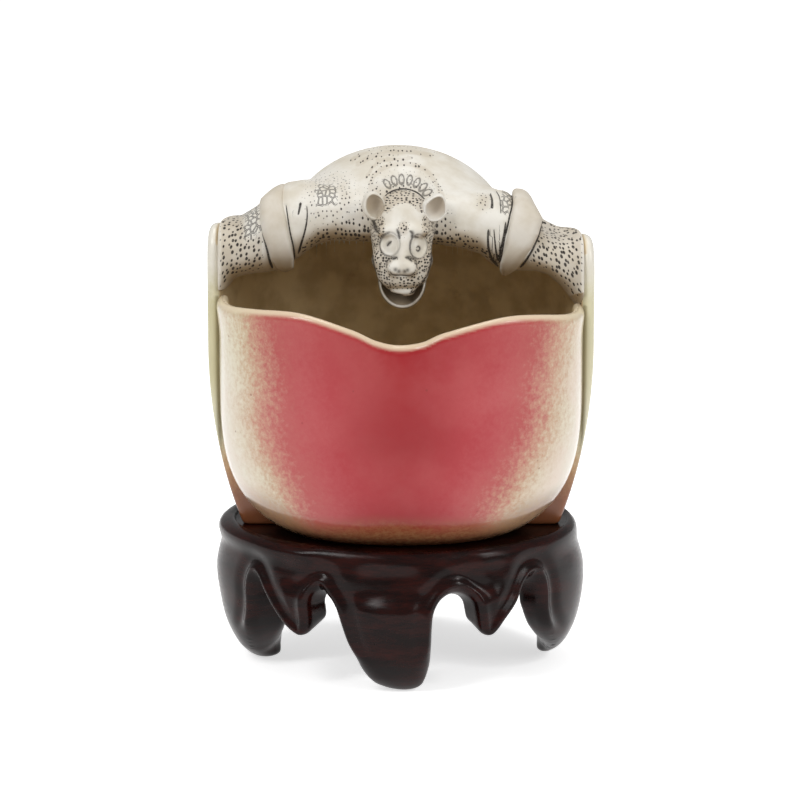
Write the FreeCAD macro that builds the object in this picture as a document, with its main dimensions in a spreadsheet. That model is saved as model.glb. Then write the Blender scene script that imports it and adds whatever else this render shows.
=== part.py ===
"""Peach-form water coupe with a crouching beast over its mouth, on a carved wood stand.

Millimetres. Z is up and the floor is z = 0, X runs to the right and the pouring side faces -Y.
The origin is on the floor under the middle of the object.
"""
import math
import os

import FreeCAD
import Part
import Sketcher

V = FreeCAD.Vector
OUT = "parts"

# Driving dimensions: alias, value and what it measures
CELLS = [
    ("stand_rim_z", 37.0, "top of the stand's rim above the floor"),
    ("seat_z", 35.6, "floor of the seat that the coupe stands on"),
    ("seat_half_width", 41.6, "seat recess, half its width"),
    ("seat_half_depth", 34.6, "seat recess, half its depth"),
    ("stand_half_width", 45.9, "stand at its widest, half"),
    ("stand_half_depth", 40.6, "stand at its deepest, half"),
    ("stand_ceiling_z", 29.5, "underside of the stand's top board"),
    ("stand_wall", 10.0, "thickness of the stand's apron"),
    ("flute_depth", 0.045, "depth of the apron's flutes as a share of its radius"),
    ("shell_half_width", 48.0, "rear shell outside, half its width"),
    ("shell_depth", 47.0, "rear shell outside, from its front face to the back"),
    ("shell_wall", 3.2, "thickness of the rear shell"),
    ("shell_front_y", -6.0, "plane of the rear shell's front face"),
    ("shell_belly_z", 82.0, "height where the rear shell is widest"),
    ("shell_arc", 82.0, "radius of the rear shell's side profile"),
    ("shell_left_z", 111.3, "top of the rear shell at its left wall"),
    ("shell_right_z", 108.3, "top of the rear shell at its right wall"),
    ("panel_half_width", 45.0, "front panel outside, half its width"),
    ("panel_depth", 35.0, "front panel outside, from the shell's face to the front"),
    ("panel_wall", 3.0, "thickness of the front panel"),
    ("panel_belly_z", 75.0, "height below which the panel rounds in"),
    ("panel_round", 43.0, "drop over which the panel's bowl would close"),
    ("panel_lap", 3.0, "how far the panel's edges reach inside the shell"),
    ("cleft_depth", 2.6, "depth of the peach cleft at the panel's rim"),
    ("cleft_half_width", 8.0, "half the width of the cleft"),
    ("cleft_low_z", 58.0, "height at which the cleft fades out"),
    ("floor_z", 40.4, "floor of the well"),
    ("slab_half_width", 28.5, "floor slab, half its width"),
    ("slab_half_depth", 22.5, "floor slab, half its depth"),
    ("slab_y", 0.5, "middle of the floor slab"),
    ("body_x", -1.2, "middle of the beast's body"),
    ("body_y", 13.0, "middle of the beast's body"),
    ("body_z", 104.0, "level where the body is widest"),
    ("body_half_width", 27.6, "body ellipsoid, half its width"),
    ("body_half_depth", 23.5, "body ellipsoid, half its depth"),
    ("body_height", 24.4, "body ellipsoid, above its widest level"),
    ("body_left_x", -25.2, "left cut of the body"),
    ("body_right_x", 21.4, "right cut of the body"),
    ("body_low_z", 101.5, "lowest level of the body"),
    ("barrel_y", 1.2, "middle of the body's barrel, which bridges the two shoulders"),
    ("barrel_half_depth", 11.4, "body's barrel, half its depth"),
    ("barrel_over_arch", 3.6, "how far above the arch the domed body starts"),
    ("back_half_width", 49.0, "beast's back, half its width"),
    ("back_half_depth", 48.0, "beast's back, half its depth"),
    ("back_height", 26.0, "beast's back, above the level where it is widest"),
    ("back_y", -4.0, "middle of the beast's back"),
    ("back_z", 94.0, "level where the back is widest"),
    ("back_front_y", 6.0, "front edge of the back"),
    ("back_low_z", 103.0, "lowest level of the back"),
    ("vault_half_width", 45.0, "hollow under the beast, half its width"),
    ("vault_half_depth", 20.5, "hollow under the beast, half its depth"),
    ("vault_height", 21.0, "hollow under the beast, height"),
    ("vault_y", 17.0, "middle of the hollow"),
    ("vault_z", 92.0, "springing level of the hollow"),
    ("arm_half_depth", 10.2, "arms at the rings, half their depth"),
    ("arm_y", 1.6, "middle of the arms"),
    ("wrist_half_depth", 10.0, "arms at the shell, half their depth"),
    ("wrist_y", 4.6, "middle of the arms at the shell"),
    ("ring_half_width", 2.9, "half the width of a shoulder ring"),
    ("ring_half_height", 10.0, "shoulder ring, half its height"),
    ("ring_half_depth", 11.4, "shoulder ring, half its depth"),
    ("ring_taper", 0.9, "ring at its edges as a share of its middle"),
    ("ring_y", 1.6, "middle of the rings"),
    ("ring_left_x", -30.7, "middle of the left ring"),
    ("ring_left_z", 109.5, "middle of the left ring"),
    ("ring_left_lean", -9.0, "lean of the left ring in degrees"),
    ("ring_right_x", 29.4, "middle of the right ring"),
    ("ring_right_z", 109.0, "middle of the right ring"),
    ("ring_right_lean", 12.0, "lean of the right ring in degrees"),
    ("fold_half_width", 1.6, "half the width of a shoulder fold"),
    ("fold_half_height", 9.5, "shoulder fold, half its height"),
    ("fold_half_depth", 10.8, "shoulder fold, half its depth"),
    ("fold_left_x", -26.6, "middle of the left fold"),
    ("fold_left_lean", 5.0, "lean of the left fold in degrees"),
    ("fold_right_x", 23.2, "middle of the right fold"),
    ("fold_right_lean", 3.0, "lean of the right fold in degrees"),
    ("fold_z", 110.4, "middle of the folds"),
    ("head_x", 0.3, "middle of the head"),
    ("jaw_half_width", 5.4, "lower jaw, half its width"),
    ("jaw_half_depth", 5.2, "lower jaw, half its depth"),
    ("jaw_half_height", 5.9, "lower jaw, half its height"),
    ("jaw_wall", 1.1, "thickness of the lower jaw's lip"),
    ("jaw_y", -12.0, "middle of the lower jaw"),
    ("jaw_z", 98.5, "middle of the lower jaw"),
    ("jaw_lip_y", -12.6, "plane of the lower jaw's lip"),
    ("nose_half_width", 3.5, "nose, half its width"),
    ("nose_half_depth", 2.5, "nose, half its depth"),
    ("nose_half_height", 2.1, "nose, half its height"),
    ("nose_y", -20.4, "middle of the nose"),
    ("nose_z", 103.4, "middle of the nose"),
    ("eye_radius", 2.2, "rim of an eye, from its middle"),
    ("eye_rim", 0.45, "radius of the rolled rim of an eye"),
    ("pupil_radius", 0.8, "pupil, radius"),
    ("eye_left_x", -3.0, "middle of the left eye"),
    ("eye_right_x", 4.0, "middle of the right eye"),
    ("eye_y", -18.2, "middle of the eyes"),
    ("eye_z", 108.6, "middle of the eyes"),
    ("eye_turn", 26.0, "how far the eyes turn outward in degrees"),
    ("ear_radius", 2.95, "ear cup, radius outside"),
    ("ear_wall", 0.8, "thickness of an ear"),
    ("ear_left_x", -6.9, "middle of the left ear's mouth"),
    ("ear_right_x", 8.4, "middle of the right ear's mouth"),
    ("ear_y", -12.2, "middle of the ears' mouths"),
    ("ear_z", 117.3, "middle of the ears' mouths"),
    ("ear_turn", 24.0, "how far the ears turn outward in degrees"),
    ("collar_radius", 7.3, "neck collar, radius of its middle line"),
    ("collar_band", 0.8, "neck collar, radius of the band"),
    ("collar_y", -7.6, "middle of the collar"),
    ("collar_z", 115.0, "middle of the collar"),
    ("collar_lean", 35.0, "lean of the collar back from upright in degrees"),
    ("tassel_length", 2.6, "beads above the collar, half their length"),
    ("tassel_radius", 0.85, "beads above the collar, half their width"),
    ("tassel_ring", 10.2, "beads above the collar, distance from its middle"),
    ("tassel_gap", 0.07, "how far the trimmed beads stand off the neck and the collar"),
]

# Arm sections from the shell inwards: x, top and underside
ARMS = {
    "left_arm": [(-46.8, 109.8, 91.0), (-42.6, 111.4, 96.2), (-38.6, 112.6, 97.9), (-33.0, 116.2, 98.8)],
    "right_arm": [(46.8, 106.8, 87.2), (42.6, 108.5, 91.6), (38.4, 109.2, 96.2), (32.0, 113.4, 99.3)],
}
# Barrel of the body from shoulder to shoulder: distance across, top and underside
BARREL = [
    (-25.2, 117.8, 102.6), (-20.6, 118.6, 106.2), (-12.6, 119.4, 107.1), (0.0, 119.8, 106.8),
    (12.1, 119.0, 105.8), (17.1, 118.4, 104.7), (21.4, 117.5, 101.9),
]
# Head sections from the crown to the lip: height, distance forward, half width and half depth
HEAD = [
    (120.9, 9.0, 3.3, 3.4),
    (119.4, 9.2, 5.1, 5.2),
    (116.2, 9.8, 7.0, 7.0),
    (111.5, 10.6, 7.8, 8.0),
    (106.5, 11.8, 7.3, 8.0),
    (102.5, 13.0, 6.6, 7.6),
    (99.0, 13.6, 5.6, 6.6),
    (96.8, 14.0, 4.2, 5.0),
]
# Rim of the front panel as seen from the front: x and height
RIM = [
    (-52.0, 93.2), (-45.5, 93.8), (-36.0, 95.4), (-24.4, 95.9), (-12.3, 92.5), (-6.0, 89.6), (-0.5, 88.4),
    (5.0, 89.2), (11.0, 91.9), (23.9, 94.8), (33.8, 94.4), (46.0, 91.4), (52.0, 90.8),
]
# Top edge of the rear shell as seen from the side: y and height on its middle line
SHELL_TOP = [(-14.0, 109.8), (-6.0, 109.8), (2.0, 109.3), (10.0, 108.2), (20.0, 106.9), (32.0, 106.4), (60.0, 106.4)]
# Underside of the beast as seen from the front: x and height
ARCH = [
    (-47.0, 86.0), (-43.6, 92.6), (-37.5, 98.8), (-31.0, 100.4), (-25.0, 102.2), (-20.0, 105.5), (-12.6, 107.5),
    (0.0, 108.0), (12.1, 106.8), (17.1, 105.2), (22.0, 102.2), (28.0, 100.2), (32.5, 100.5), (39.5, 96.8),
    (44.0, 91.6), (47.0, 84.0),
]
# Apron profile of the stand: height, then half width and half depth as shares of the widest
APRON = [
    (37.0, 0.950, 0.905), (34.0, 0.972, 0.935), (28.5, 0.990, 0.978), (20.0, 1.000, 1.000),
    (11.0, 0.965, 0.970), (4.5, 0.895, 0.890), (0.0, 0.815, 0.800),
]
# Lower edge of the apron between two feet: azimuth from the front and height
RIGHT_EDGE = [
    (12.5, -6.0), (10.8, 2.0), (10.4, 6.4), (10.0, 11.2), (9.8, 17.8), (10.4, 22.6), (13.0, 26.3), (17.0, 28.4),
    (21.8, 28.9), (25.6, 27.6), (28.0, 24.4), (28.9, 19.4), (29.4, 16.6), (31.0, 15.5), (33.2, 16.3),
    (37.1, 19.6), (42.6, 23.5), (46.7, 26.8), (50.5, 29.0), (54.3, 29.0), (57.4, 26.4), (58.8, 22.5),
    (59.6, 18.0), (62.5, 13.5), (69.0, 8.5), (79.0, 3.5), (88.0, 0.0), (92.0, -6.0),
]
LEFT_EDGE = [
    (-90.0, -6.0), (-84.5, 0.0), (-78.0, 3.5), (-71.0, 8.5), (-66.4, 14.0), (-64.0, 19.0), (-63.2, 23.0),
    (-61.5, 26.6), (-58.7, 28.4), (-55.5, 27.0), (-52.7, 24.4), (-49.2, 21.4), (-44.0, 17.5), (-40.6, 15.6),
    (-37.6, 14.8), (-36.1, 16.6), (-35.9, 20.0), (-36.1, 23.0), (-35.0, 26.3), (-31.6, 28.5), (-28.5, 27.8),
    (-26.3, 26.5), (-24.0, 24.8), (-22.0, 22.5), (-20.6, 20.0), (-18.1, 14.3), (-15.1, 8.8), (-12.0, 4.0),
    (-8.0, -6.0),
]
# Where the apron swells, 1, and where it is fluted, 0, round from the front
SWELLS = [
    (0.0, 1.0), (22.0, 0.0), (33.0, 0.7), (52.0, 0.0), (90.0, 1.0), (120.0, 0.0), (142.0, 0.7), (152.0, 0.0),
    (180.0, 1.0), (202.0, 0.0), (213.0, 0.7), (232.0, 0.0), (270.0, 1.0), (300.0, 0.0), (322.0, 0.7),
    (332.0, 0.0), (360.0, 1.0),
]
SECTION_POINTS = 48

doc = FreeCAD.newDocument("water_coupe")
sheet = doc.addObject("Spreadsheet::Sheet", "Sizes")


def fill_sheet():
    """Writes every driving dimension, and the sections of the arms, barrel and head, to the sheet."""
    rows = list(CELLS)
    for k, (x, top, low) in enumerate(BARREL):
        rows.append((f"barrel_x_{k}", x, f"barrel, place of section {k}"))
        rows.append((f"barrel_top_{k}", top, f"barrel, top of section {k}"))
        rows.append((f"barrel_low_{k}", low, f"barrel, underside of section {k}"))
    for name, sections in ARMS.items():
        for k, (x, top, low) in enumerate(sections):
            rows.append((f"{name}_x_{k}", x, f"{name}, place of section {k}"))
            rows.append((f"{name}_top_{k}", top, f"{name}, top of section {k}"))
            rows.append((f"{name}_low_{k}", low, f"{name}, underside of section {k}"))
    for k, (z, forward, wide, deep) in enumerate(HEAD):
        rows.append((f"head_z_{k}", z, f"head, height of section {k}"))
        rows.append((f"head_forward_{k}", forward, f"head, distance forward of section {k}"))
        rows.append((f"head_wide_{k}", wide, f"head, half width of section {k}"))
        rows.append((f"head_deep_{k}", deep, f"head, half depth of section {k}"))
    for n, (alias, value, note) in enumerate(rows, 1):
        sheet.set(f"A{n}", note)
        sheet.set(f"B{n}", str(value))
        sheet.setAlias(f"B{n}", alias)
    doc.recompute()


def size(alias):
    return float(getattr(sheet, alias))


def cell(text):
    """Writes an expression: each word in braces becomes a cell of the sheet."""
    return text.replace("{", "Sizes.").replace("}", "")


def bind(obj, **sizes):
    for key, text in sizes.items():
        obj.setExpression(key.replace("__", "."), cell(str(text)))
    return obj


def place(obj, x="0", y="0", z="0", rotation=None):
    """Puts an object at expressions of the sheet's cells, turned by a fixed rotation."""
    if rotation is not None:
        obj.Placement = FreeCAD.Placement(V(), rotation)
    return bind(obj, Placement__Base__x=x, Placement__Base__y=y, Placement__Base__z=z)


def part(kind, name):
    return doc.addObject("Part::" + kind, name)


def ellipsoid(name, wide, deep, high, x, y, z):
    made = bind(part("Ellipsoid", name), Radius1=high, Radius2=wide, Radius3=deep)
    made.Angle1, made.Angle2, made.Angle3 = -90, 90, 360
    return place(made, x, y, z)


def box(name, x, y, z, length, width, height, rotation=None):
    made = bind(part("Box", name), Length=length, Width=width, Height=height)
    return place(made, x, y, z, rotation)


def oval(name, major, minor, x, y, z, rotation=None):
    made = bind(part("Ellipse", name), MajorRadius=major, MinorRadius=minor)
    return place(made, x, y, z, rotation)


def loft(name, sections):
    made = part("Loft", name)
    made.Sections, made.Solid, made.Ruled = sections, True, False
    return made


def cut(name, base, *tools):
    """base less every tool, as a chain of booleans whose last one has the name."""
    for k, tool in enumerate(tools):
        made = part("Cut", name if k == len(tools) - 1 else f"{name}_less_{tool.Name}")
        made.Base, made.Tool = base, tool
        base = made
    return base


def common(name, *shapes):
    made = part("MultiCommon", name)
    made.Shapes = list(shapes)
    return made


def fuse(name, *shapes):
    made = part("MultiFuse", name)
    made.Shapes = list(shapes)
    return made


def free_form(name, shape, placement=None):
    made = part("Feature", name)
    made.Shape = shape
    made.Placement = placement or FreeCAD.Placement()
    return made


def curve(points, closed=False):
    made = Part.BSplineCurve()
    made.interpolate(Points=points, PeriodicFlag=closed)
    return made.toShape()


def prism(profile, floor_z, y_low, y_high):
    """Solid between a curve of x and height and a level, drawn out along Y."""
    first, last = profile[0], profile[-1]
    line = [V(first[0], y_low, first[1]), V(first[0], y_low, floor_z), V(last[0], y_low, floor_z)]
    line.append(V(last[0], y_low, last[1]))
    edges = [curve([V(x, y_low, z) for x, z in profile])]
    edges += [Part.makeLine(line[k], line[k + 1]) for k in range(3)]
    face = Part.Face(Part.Wire(Part.__sortEdges__(edges)))
    return face.extrude(V(0, y_high - y_low, 0))


def round_in(z, start, drop, power):
    """Share of full width that a bowl keeps at height z, rounding in below start."""
    below = max(0.0, start - z) / drop
    return (1.0 - below**power) ** (1.0 / power)


# Stand
def swell_at(azimuth):
    """Share of full swell round the apron, eased between the listed azimuths."""
    azimuth %= 360.0
    for (start, low), (end, high) in zip(SWELLS, SWELLS[1:]):
        if azimuth <= end:
            ease = (1 - math.cos(math.pi * (azimuth - start) / (end - start))) / 2
            return low + (high - low) * ease
    return SWELLS[-1][1]


def stand_section(z, wide, deep, flutes):
    """Closed curve round the apron at one height."""
    points = []
    for k in range(SECTION_POINTS):
        azimuth = 360.0 * k / SECTION_POINTS
        share = 1 - flutes * (1 - swell_at(azimuth))
        turn = math.radians(azimuth)
        points.append(V(wide * share * math.sin(turn), -deep * share * math.cos(turn), z))
    return Part.Wire([curve(points, closed=True)])


def stand_arches(edge, middle):
    """What is cut away under the apron between two feet, drawn out from the middle."""
    turn = FreeCAD.Rotation(V(0, 0, 1), middle)
    start = 45.0 if edge[0][0] > 0 else -45.0

    def wire(reach):
        points = [V(reach * math.tan(math.radians(a - start)), -reach, z) for a, z in edge]
        shape = Part.Wire([curve(points), Part.makeLine(points[-1], points[0])])
        shape.Placement = FreeCAD.Placement(V(), turn)
        return shape

    return Part.makeLoft([wire(6.0), wire(80.0)], True, True)


def make_stand():
    wide, deep, wall = size("stand_half_width"), size("stand_half_depth"), size("stand_wall")
    flute = size("flute_depth")
    outer = []
    for z, share_w, share_d in APRON:
        fade = math.sin(math.pi * min(1.0, (size("stand_rim_z") - z) / size("stand_rim_z")))
        outer.append(stand_section(z, wide * share_w, deep * share_d, flute * fade))
    hollow = []
    for z, share_w, share_d in [(-2.0, 0.79, 0.77)] + APRON[5:2:-1]:
        hollow.append(stand_section(z, wide * share_w - wall, deep * share_d - wall, 0.0))
    hollow.append(stand_section(size("stand_ceiling_z"), 0.9 * wide - wall, 0.88 * deep - wall, 0.0))
    shape = Part.makeLoft(outer, True).cut(Part.makeLoft(hollow, True))
    for edge, middle in ((RIGHT_EDGE, 45.0), (LEFT_EDGE, 140.0), (RIGHT_EDGE, 225.0), (LEFT_EDGE, 315.0)):
        shape = shape.cut(stand_arches(edge, middle))
    seat = part("Ellipse", "seat_outline")
    bind(seat, MajorRadius="{seat_half_width}", MinorRadius="{seat_half_depth}")
    place(seat, z="{seat_z}")
    recess = part("Extrusion", "seat_recess")
    recess.Base, recess.DirMode, recess.Dir, recess.Solid = seat, "Custom", V(0, 0, 1), True
    bind(recess, LengthFwd="{stand_rim_z} - {seat_z} + 5")
    return cut("stand", free_form("stand_block", shape), recess)


# Rear shell, floor slab and front panel
def arc_share(z):
    """Share of full width of the rear wall outside, whose side is one arc."""
    return f"sqrt(1 - (max(0; {{shell_belly_z}} - {z}) / {{shell_arc}})^2)"


def hollow_share(z):
    """Share of full width of the hollow, whose foot rounds in like the front panel's."""
    return f"(1 - (max(0; {{panel_belly_z}} + 3.4 - {z}) / {{panel_round}} * 0.98)^3.2)^(1 / 3.2)"


def rear_form(name, wall, share, low, high):
    """Rear wall's form, its wall taken off, from one height to another."""
    sections = []
    steps = 9
    for k in range(steps):
        z = low + (high - low) * k / (steps - 1)
        sections.append(
            oval(
                f"{name}_{k}",
                f"({{shell_half_width}} - {wall}) * {share(z)}",
                f"({{shell_depth}} - {wall}) * {share(z)}",
                "0",
                "{shell_front_y}",
                str(z),
            )
        )
    return loft(name, sections)


def make_floor_slab():
    outline = oval("slab_outline", "{slab_half_width}", "{slab_half_depth}", "0", "{slab_y}", "{seat_z}")
    slab = part("Extrusion", "floor_slab")
    slab.Base, slab.DirMode, slab.Dir, slab.Solid = outline, "Custom", V(0, 0, 1), True
    return bind(slab, LengthFwd="{floor_z} - {seat_z}")


def make_rear_shell(slab):
    """The rear wall, and the solid of the hollow that it stands round."""
    top = max(size("shell_left_z"), size("shell_right_z")) + 2.0
    outer = rear_form("rear_outer", "0", arc_share, size("seat_z"), top)
    inner = rear_form("rear_hollow", "{shell_wall}", hollow_share, size("floor_z"), top + 14.0)
    front = box("rear_front", "-60", "{shell_front_y} - 80", "0", "120", "80", "160")
    across = 2 * size("shell_half_width")
    middle = (size("shell_left_z") + size("shell_right_z")) / 2
    slope = math.degrees(math.atan2(size("shell_left_z") - size("shell_right_z"), across))
    line = [V(-60.0, y, z - middle) for y, z in SHELL_TOP]
    corners = [line[-1], V(-60.0, line[-1].y, 40.0), V(-60.0, line[0].y, 40.0), line[0]]
    edges = [curve(line)] + [Part.makeLine(corners[k], corners[k + 1]) for k in range(3)]
    above = Part.Face(Part.Wire(edges)).extrude(V(120.0, 0, 0))
    tilt = FreeCAD.Placement(V(0, 0, middle), FreeCAD.Rotation(V(0, 1, 0), slope))
    return cut("rear_shell", outer, inner, front, free_form("rear_top", above, tilt), slab), inner


def panel_outline(z, wide, deep, inset, lift):
    """Front wall's outline at one height: a soft curve with the cleft, closed behind."""
    share = round_in(z - lift, size("panel_belly_z"), size("panel_round"), 3.2)
    front_y, lap = size("shell_front_y"), size("panel_lap")
    fade = max(0.0, min(1.0, (z - size("cleft_low_z")) / (95.0 - size("cleft_low_z"))))
    count, power = 33, 2 / 2.25
    points = []
    for k in range(count):
        turn = math.pi * k / (count - 1)
        x = -(wide - inset) * share * math.copysign(abs(math.cos(turn)) ** power, math.cos(turn))
        y = front_y - (deep - inset) * share * math.sin(turn) ** power
        y += size("cleft_depth") * fade**1.5 * math.exp(-((x / size("cleft_half_width")) ** 2))
        points.append(V(x, y, z))
    back = [points[-1], V(points[-1].x, front_y + lap, z), V(points[0].x, front_y + lap, z), points[0]]
    return Part.Wire([curve(points)] + [Part.makeLine(back[k], back[k + 1]) for k in range(3)])


def make_front_panel(rear_shell, slab):
    wide, deep, wall = size("panel_half_width"), size("panel_depth"), size("panel_wall")
    outer_levels = [size("seat_z"), 37.0, 39.5, 43.0, 48.0, 55.0, 64.0, 75.0, 86.0, 98.0]
    inner_levels = [size("floor_z"), 41.8, 44.0, 47.5, 52.0, 59.0, 68.0, 78.4, 88.0, 100.0]
    outer = Part.makeLoft([panel_outline(z, wide, deep, 0.0, 0.0) for z in outer_levels], True)
    inner = Part.makeLoft([panel_outline(z, wide, deep, wall, 3.4) for z in inner_levels], True)
    above = prism(RIM, 120.0, -60.0, 20.0)
    panel = free_form("panel_wall_form", outer.cut(inner).cut(above))
    return cut("front_panel", panel, rear_shell, slab)


# Beast
def across_x(lean=0.0):
    """Rotation that stands an ellipse upright across X, its long axis along Y, then leans it."""
    stand_up = FreeCAD.Rotation(V(1, 1, 1), 120)
    return FreeCAD.Rotation(V(0, 1, 0), lean).multiply(stand_up)


def make_arm(name):
    sections = []
    last = len(ARMS[name]) - 1
    for k in range(last + 1):
        blend = f"{k} / {last}"
        deep = f"({{wrist_half_depth}} + ({{arm_half_depth}} - {{wrist_half_depth}}) * {blend})"
        y = f"{{wrist_y}} + ({{arm_y}} - {{wrist_y}}) * {blend}"
        high = f"({{{name}_top_{k}}} - {{{name}_low_{k}}}) / 2"
        z = f"({{{name}_top_{k}}} + {{{name}_low_{k}}}) / 2"
        sections.append(oval(f"{name}_{k}", deep, high, f"{{{name}_x_{k}}}", y, z, across_x()))
    return loft(f"{name}_form", sections)


def make_barrel():
    sections = []
    for k in range(len(BARREL)):
        high = f"({{barrel_top_{k}}} - {{barrel_low_{k}}}) / 2"
        z = f"({{barrel_top_{k}}} + {{barrel_low_{k}}}) / 2"
        sections.append(
            oval(f"barrel_{k}", "{barrel_half_depth}", high, f"{{barrel_x_{k}}}", "{barrel_y}", z, across_x())
        )
    return loft("barrel", sections)


def make_band(name, kind, x, z, lean):
    """A rolled band round a shoulder: three leaning ellipses, the middle one largest."""
    degrees = size(lean)
    turn = math.radians(degrees)
    sections = []
    for k, side in enumerate((-1, -0.45, 0.45, 1)):
        share = "{ring_taper}" if abs(side) == 1 else "1"
        offset = f"{side} * {{{kind}_half_width}}"
        sections.append(
            oval(
                f"{name}_{k}",
                f"{{{kind}_half_depth}} * {share}",
                f"{{{kind}_half_height}} * {share}",
                f"{{{x}}} + {offset} * {math.cos(turn)}",
                "{ring_y}",
                f"{{{z}}} - {offset} * {math.sin(turn)}",
                across_x(degrees),
            )
        )
    return loft(f"{name}_form", sections)


def make_head_form():
    sections = []
    quarter = FreeCAD.Rotation(V(0, 0, 1), 90)
    for k in range(len(HEAD)):
        wide, deep = f"{{head_wide_{k}}}", f"{{head_deep_{k}}}"
        y, z = f"-{{head_forward_{k}}}", f"{{head_z_{k}}}"
        sections.append(oval(f"head_{k}", deep, wide, "{head_x}", y, z, quarter))
    return loft("head_form", sections)


def make_jaw(head):
    half = ("{jaw_half_width}", "{jaw_half_depth}", "{jaw_half_height}")
    outer = ellipsoid("jaw_outer", *half, "{head_x}", "{jaw_y}", "{jaw_z}")
    inner = ellipsoid(
        "jaw_hollow", *[h + " - {jaw_wall}" for h in half], "{head_x}", "{jaw_y} - {jaw_wall}", "{jaw_z} + 0.2"
    )
    front = box("jaw_front", "-10", "{jaw_lip_y} - 10", "80", "20", "10", "30")
    return cut("lower_jaw", outer, inner, front, head)


def cup_body(name, radius, wall):
    """A round cup open along its own Z, turned from one sketch."""
    body = doc.addObject("PartDesign::Body", name)
    sketch = body.newObject("Sketcher::SketchObject", name + "_profile")
    plane = next(f for f in body.Origin.OriginFeatures if f.Role == "XZ_Plane")
    sketch.AttachmentSupport = [(plane, "")]
    sketch.MapMode = "FlatFace"
    outer, inner = size(radius), size(radius) - size(wall)
    axis = V(0, 0, 1)
    start, end = -math.pi / 2, 0.0
    sketch.addGeometry(Part.ArcOfCircle(Part.Circle(V(), axis, outer), start, end), False)
    sketch.addGeometry(Part.LineSegment(V(outer, 0, 0), V(inner, 0, 0)), False)
    sketch.addGeometry(Part.ArcOfCircle(Part.Circle(V(), axis, inner), start, end), False)
    sketch.addGeometry(Part.LineSegment(V(0, -inner, 0), V(0, -outer, 0)), False)
    rows = [
        ("Coincident", 0, 3, -1, 1), ("Coincident", 2, 3, -1, 1), ("Coincident", 0, 2, 1, 1),
        ("Coincident", 1, 2, 2, 2), ("Coincident", 2, 1, 3, 1), ("Coincident", 3, 2, 0, 1),
        ("PointOnObject", 1, 1, -1), ("PointOnObject", 1, 2, -1), ("PointOnObject", 3, 1, -2),
        ("PointOnObject", 3, 2, -2),
    ]
    for row in rows:
        sketch.addConstraint(Sketcher.Constraint(*row))
    for number, geometry, value, text in ((10, 0, outer, cell("{%s}" % radius)),
                                          (11, 2, inner, cell("{%s} - {%s}" % (radius, wall)))):
        sketch.addConstraint(Sketcher.Constraint("Radius", geometry, value))
        sketch.setExpression(f"Constraints[{number}]", text)
    turned = body.newObject("PartDesign::Revolution", name + "_cup")
    turned.Profile = sketch
    turned.ReferenceAxis = (sketch, ["V_Axis"])
    turned.Angle = 360
    body.Tip = turned
    return body


def facing(turn, up=0.0):
    """Rotation that points a part's own Z at the viewer, turned outward and tipped up."""
    forward = FreeCAD.Rotation(V(1, 0, 0), 90 - up)
    return FreeCAD.Rotation(V(0, 0, 1), turn).multiply(forward)


def make_ear(side, head, body):
    sign = -1 if side == "left" else 1
    cup = cup_body(f"{side}_ear_cup", "ear_radius", "ear_wall")
    place(cup, f"{{ear_{side}_x}}", "{ear_y}", "{ear_z}", facing(sign * size("ear_turn"), 8.0))
    return cut(f"{side}_ear", cup, head, body)


def make_eye(side, head):
    sign = -1 if side == "left" else 1
    rotation = facing(sign * size("eye_turn"), 12.0)
    at = (f"{{eye_{side}_x}}", "{eye_y}", "{eye_z}", rotation)
    rim = bind(part("Torus", f"{side}_eye_rim"), Radius1="{eye_radius}", Radius2="{eye_rim}")
    pupil = bind(part("Sphere", f"{side}_pupil"), Radius="{pupil_radius}")
    return cut(f"{side}_eye", fuse(f"{side}_eye_form", place(rim, *at), place(pupil, *at)), head)


def collar_frame():
    return FreeCAD.Rotation(V(1, 0, 0), 90 - size("collar_lean"))


def make_collar(head, body):
    ring = bind(part("Torus", "collar_ring"), Radius1="{collar_radius}", Radius2="{collar_band}")
    place(ring, "{head_x}", "{collar_y}", "{collar_z}", collar_frame())
    below = box("collar_below", "-20", "-40", "0", "40", "60", "{collar_z} - 2")
    return cut("collar_band", ring, below, head, body)


def make_tassels(head, body, collar):
    """Short beads that fan out over the neck above the collar."""
    beads = []
    frame = collar_frame()
    lean = math.radians(size("collar_lean"))
    for k, angle in enumerate((56.0, 72.0, 88.0, 104.0, 120.0, 136.0)):
        turn = math.radians(angle)
        reach = size("tassel_ring")
        up = reach * math.sin(turn)
        bead = part("Ellipsoid", f"bead_{k}")
        bind(bead, Radius1="{tassel_radius}", Radius2="{tassel_length}", Radius3="{tassel_radius}")
        bead.Angle1, bead.Angle2, bead.Angle3 = -90, 90, 360
        spin = frame.multiply(FreeCAD.Rotation(V(0, 0, 1), angle))
        x = f"{{head_x}} + {{tassel_ring}} * {math.cos(turn)}"
        y = f"{{collar_y}} + {up * math.sin(lean)}"
        z = f"{{collar_z}} + {up * math.cos(lean)}"
        beads.append(place(bead, x, y, z, spin))
    row = cut("collar_beads", fuse("bead_row", *beads), body, head, collar)
    return place(row, "0", "-0.3 * {tassel_gap}", "{tassel_gap}")


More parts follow.
